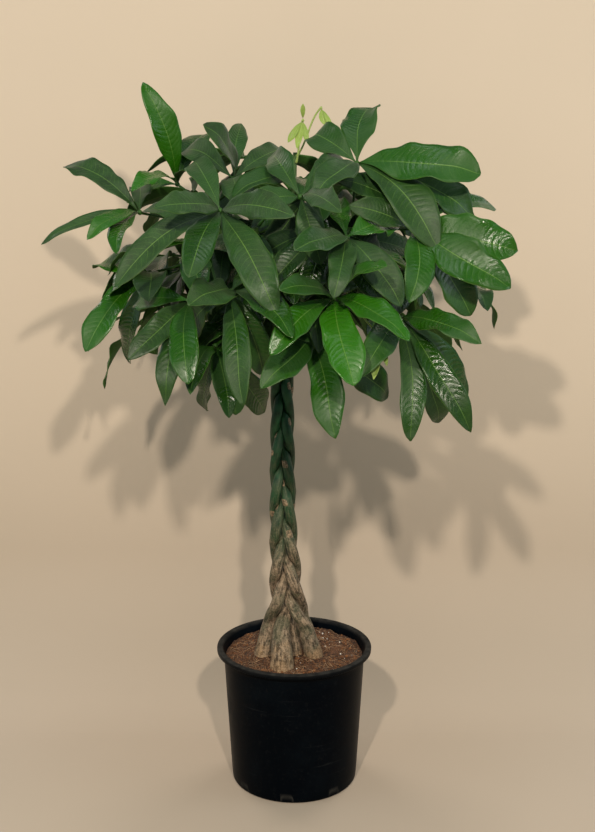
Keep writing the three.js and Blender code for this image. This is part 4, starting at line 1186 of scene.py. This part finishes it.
def crumb_material(name, dark, light, roughness):
    """Each grain has its own tone between dark and light."""
    g = Graph(name)
    grain = g.noise(900.0)
    base = g.mix(grain * 0.4 + g.look()[0] * 0.6, dark, light)
    return g.finish(base, roughness, grain, 0.5, 0.0006)


white = crumb_material("perlite_white", (0.52, 0.48, 0.42), (0.78, 0.75, 0.69), 0.8)
brown = crumb_material("coir_crumb_brown", (0.016, 0.006, 0.003), (0.28, 0.112, 0.038), 0.9)
straw = crumb_material("coir_fibre_straw", (0.24, 0.11, 0.05), (0.60, 0.40, 0.22), 0.8)
granules("perlite", 70, 0.0010, 0.0038, white, 0.8)
granules("coir_crumbs", 520, 0.002, 0.0065, brown, 0.6)


def fibres(count):
    """Thin three-sided tubes along short random arcs that lie on the soil."""
    sheets = Sheets()
    for x, y in scatter(count):
        length, turn = 0.006 + 0.016 * rng.random(), 2 * np.pi * rng.random()
        s = np.linspace(-0.5, 0.5, 6)
        heading = turn + (rng.random() - 0.5) * 1.6 * s
        px = x + length * np.cumsum(np.cos(heading)) / 6
        py = y + length * np.cumsum(np.sin(heading)) / 6
        if np.hypot(px, py).max() >= inside_at(SOIL_TOP) - 0.003:
            continue
        pz = soil_height(px, py) + 0.0006 + 0.002 * rng.random() * (1 - (2 * s) ** 2)
        radii = np.full(6, 0.0002 + 0.0002 * rng.random())
        add_rod(sheets, stacked(px, py, pz), radii, 3, (rng.random(), 0, 0, 0))
    finish_piece(sheets.mesh("coir_fibres"), straw, "soil")


fibres(420)

# %% [markdown]
# ## Stage, light and camera
# A pale warm floor runs on all round, and a card curves up out of it close behind the plant. Two
# small lamps stand in front, on the left and on the right, because the photograph shows two
# shadows with clear edges. Weaker soft ones fill in from above, from the sides and from behind. The
# card is a sheet with one face: from behind it lets the view and the light through, so the plant
# can be looked at from all round. The camera looks down by about 12 degrees from two metres away.

# %% Floor and backdrop
CARD_START, CARD_CURVE, CARD_HEIGHT, CARD_HALF, FLOOR_REACH = 0.16, 0.29, 1.5, 0.78, 4.5


def stage_material(one_sided):
    """Warm plaster, painted lighter higher up where more light falls; one_sided opens it to a view and
    to lamps from behind.
    """
    g = Graph("warm_pale_wall" if one_sided else "warm_pale_floor")
    tone = g.noise(1.5)
    low = g.mix(tone, (0.43, 0.35, 0.27), (0.47, 0.38, 0.30))
    high = g.mix(tone, (0.57, 0.47, 0.365), (0.62, 0.51, 0.40))
    # Darker low and lighter high: painted light, the fall-off of the lamps up the card.
    base = g.mix(g.span(g.height(), -0.1, 0.75), low, high)
    g.finish(base, 0.9, g.noise(60.0, 4.0), 0.05, 0.002)
    if one_sided:
        behind = g.math("MAXIMUM", g.add("NewGeometry", output="Backfacing"),
                        g.add("LightPath", output="Is Shadow Ray"))
        shader = Value(g, g.shader.outputs[0])
        both = g.add("MixShader", {0: behind, 1: shader, 2: g.add("BsdfTransparent")})
        end = next(n for n in g.tree.nodes if n.type == "OUTPUT_MATERIAL")
        g.put(end.inputs[0], both)
    return g.material


def add_stage(name, half, along_y, height, one_sided):
    """Sheet whose rows follow the two lines along_y and height, and which is straight across."""
    across = np.linspace(-half, half, 8)[None, :]
    grid = stacked(across, along_y[:, None], height[:, None])
    item = sheet(name, grid, np.linspace(0, 1, len(along_y))[:, None], across, closed=False)
    item.data.materials.append(stage_material(one_sided))
    print(name, "faces:", len(item.data.polygons))


bend = np.linspace(0, np.pi / 2, 16)
climb = np.linspace(CARD_CURVE, CARD_HEIGHT, 20)[1:]
card_y = CARD_START + CARD_CURVE * np.concatenate([np.sin(bend), np.ones(len(climb))])
card_z = np.concatenate([CARD_CURVE * (1 - np.cos(bend)), climb])
add_stage("wall", CARD_HALF, card_y, card_z, True)
floor_y = np.linspace(-FLOOR_REACH, CARD_START, 20)
add_stage("floor", FLOOR_REACH, floor_y, 0 * floor_y, False)
far_y = np.linspace(CARD_START, FLOOR_REACH, 20)
add_stage("floor_behind", FLOOR_REACH, far_y, 0 * far_y - 0.001, False)


# %% Lights, world and camera
def soft_light(name, place, target, size, power, colour):
    """Square lamp that faces the target."""
    lamp = bpy.data.lights.new(name, "AREA")
    lamp.shape, lamp.size, lamp.energy, lamp.color = "SQUARE", size, power, colour
    item = bpy.data.objects.new(name, lamp)
    way = Vector(target) - Vector(place)
    item.location, item.rotation_euler = place, way.to_track_quat("-Z", "Y").to_euler()
    bpy.context.scene.collection.objects.link(item)


WARM, PALE, COOL = (1.0, 0.90, 0.76), (1.0, 0.95, 0.88), (0.85, 0.95, 1.0)
PLANT, WALL_MIDDLE = (0, 0, 0.8), (0, 0.45, 0.7)
for row in (
    ("key_left", (-0.50, -2.6, 2.15), PLANT, 0.09, 47, WARM),
    ("key_right", (0.42, -2.7, 2.05), PLANT, 0.09, 43, WARM),
    ("top_soft", (0.0, -0.5, 3.1), PLANT, 1.0, 8, (0.95, 0.98, 1.0)),
    ("side_left", (-1.6, -0.3, 1.2), WALL_MIDDLE, 1.0, 4, COOL),
    ("back_left", (-1.7, 2.1, 2.1), PLANT, 1.4, 28, PALE),
    ("back_right", (1.7, 2.1, 2.1), PLANT, 1.4, 28, PALE),
    ("side_right", (1.6, -0.3, 1.2), WALL_MIDDLE, 1.0, 6, COOL),
):
    soft_light(*row)
world = bpy.data.worlds.new("soft_room")
bpy.context.scene.world = world
world.use_nodes = True
sky = world.node_tree.nodes["Background"].inputs
sky[0].default_value, sky[1].default_value = (0.68, 0.90, 0.92, 1), 0.24

PHOTO_WIDTH, PHOTO_HEIGHT, FOCAL_PIXELS, PITCH = 595, 832, 1200, 11.7
camera = bpy.data.cameras.new("photo_camera")
camera.sensor_width = 36
camera.lens = FOCAL_PIXELS / PHOTO_HEIGHT * camera.sensor_width
viewer = bpy.data.objects.new("photo_camera", camera)
viewer.location = (0.006, -2.054, 1.103)
viewer.rotation_euler = (np.radians(90 - PITCH), 0, 0)
bpy.context.scene.collection.objects.link(viewer)
bpy.context.scene.camera = viewer
bpy.context.scene.view_settings.view_transform = "Standard"
print("camera lens:", round(camera.lens, 2))
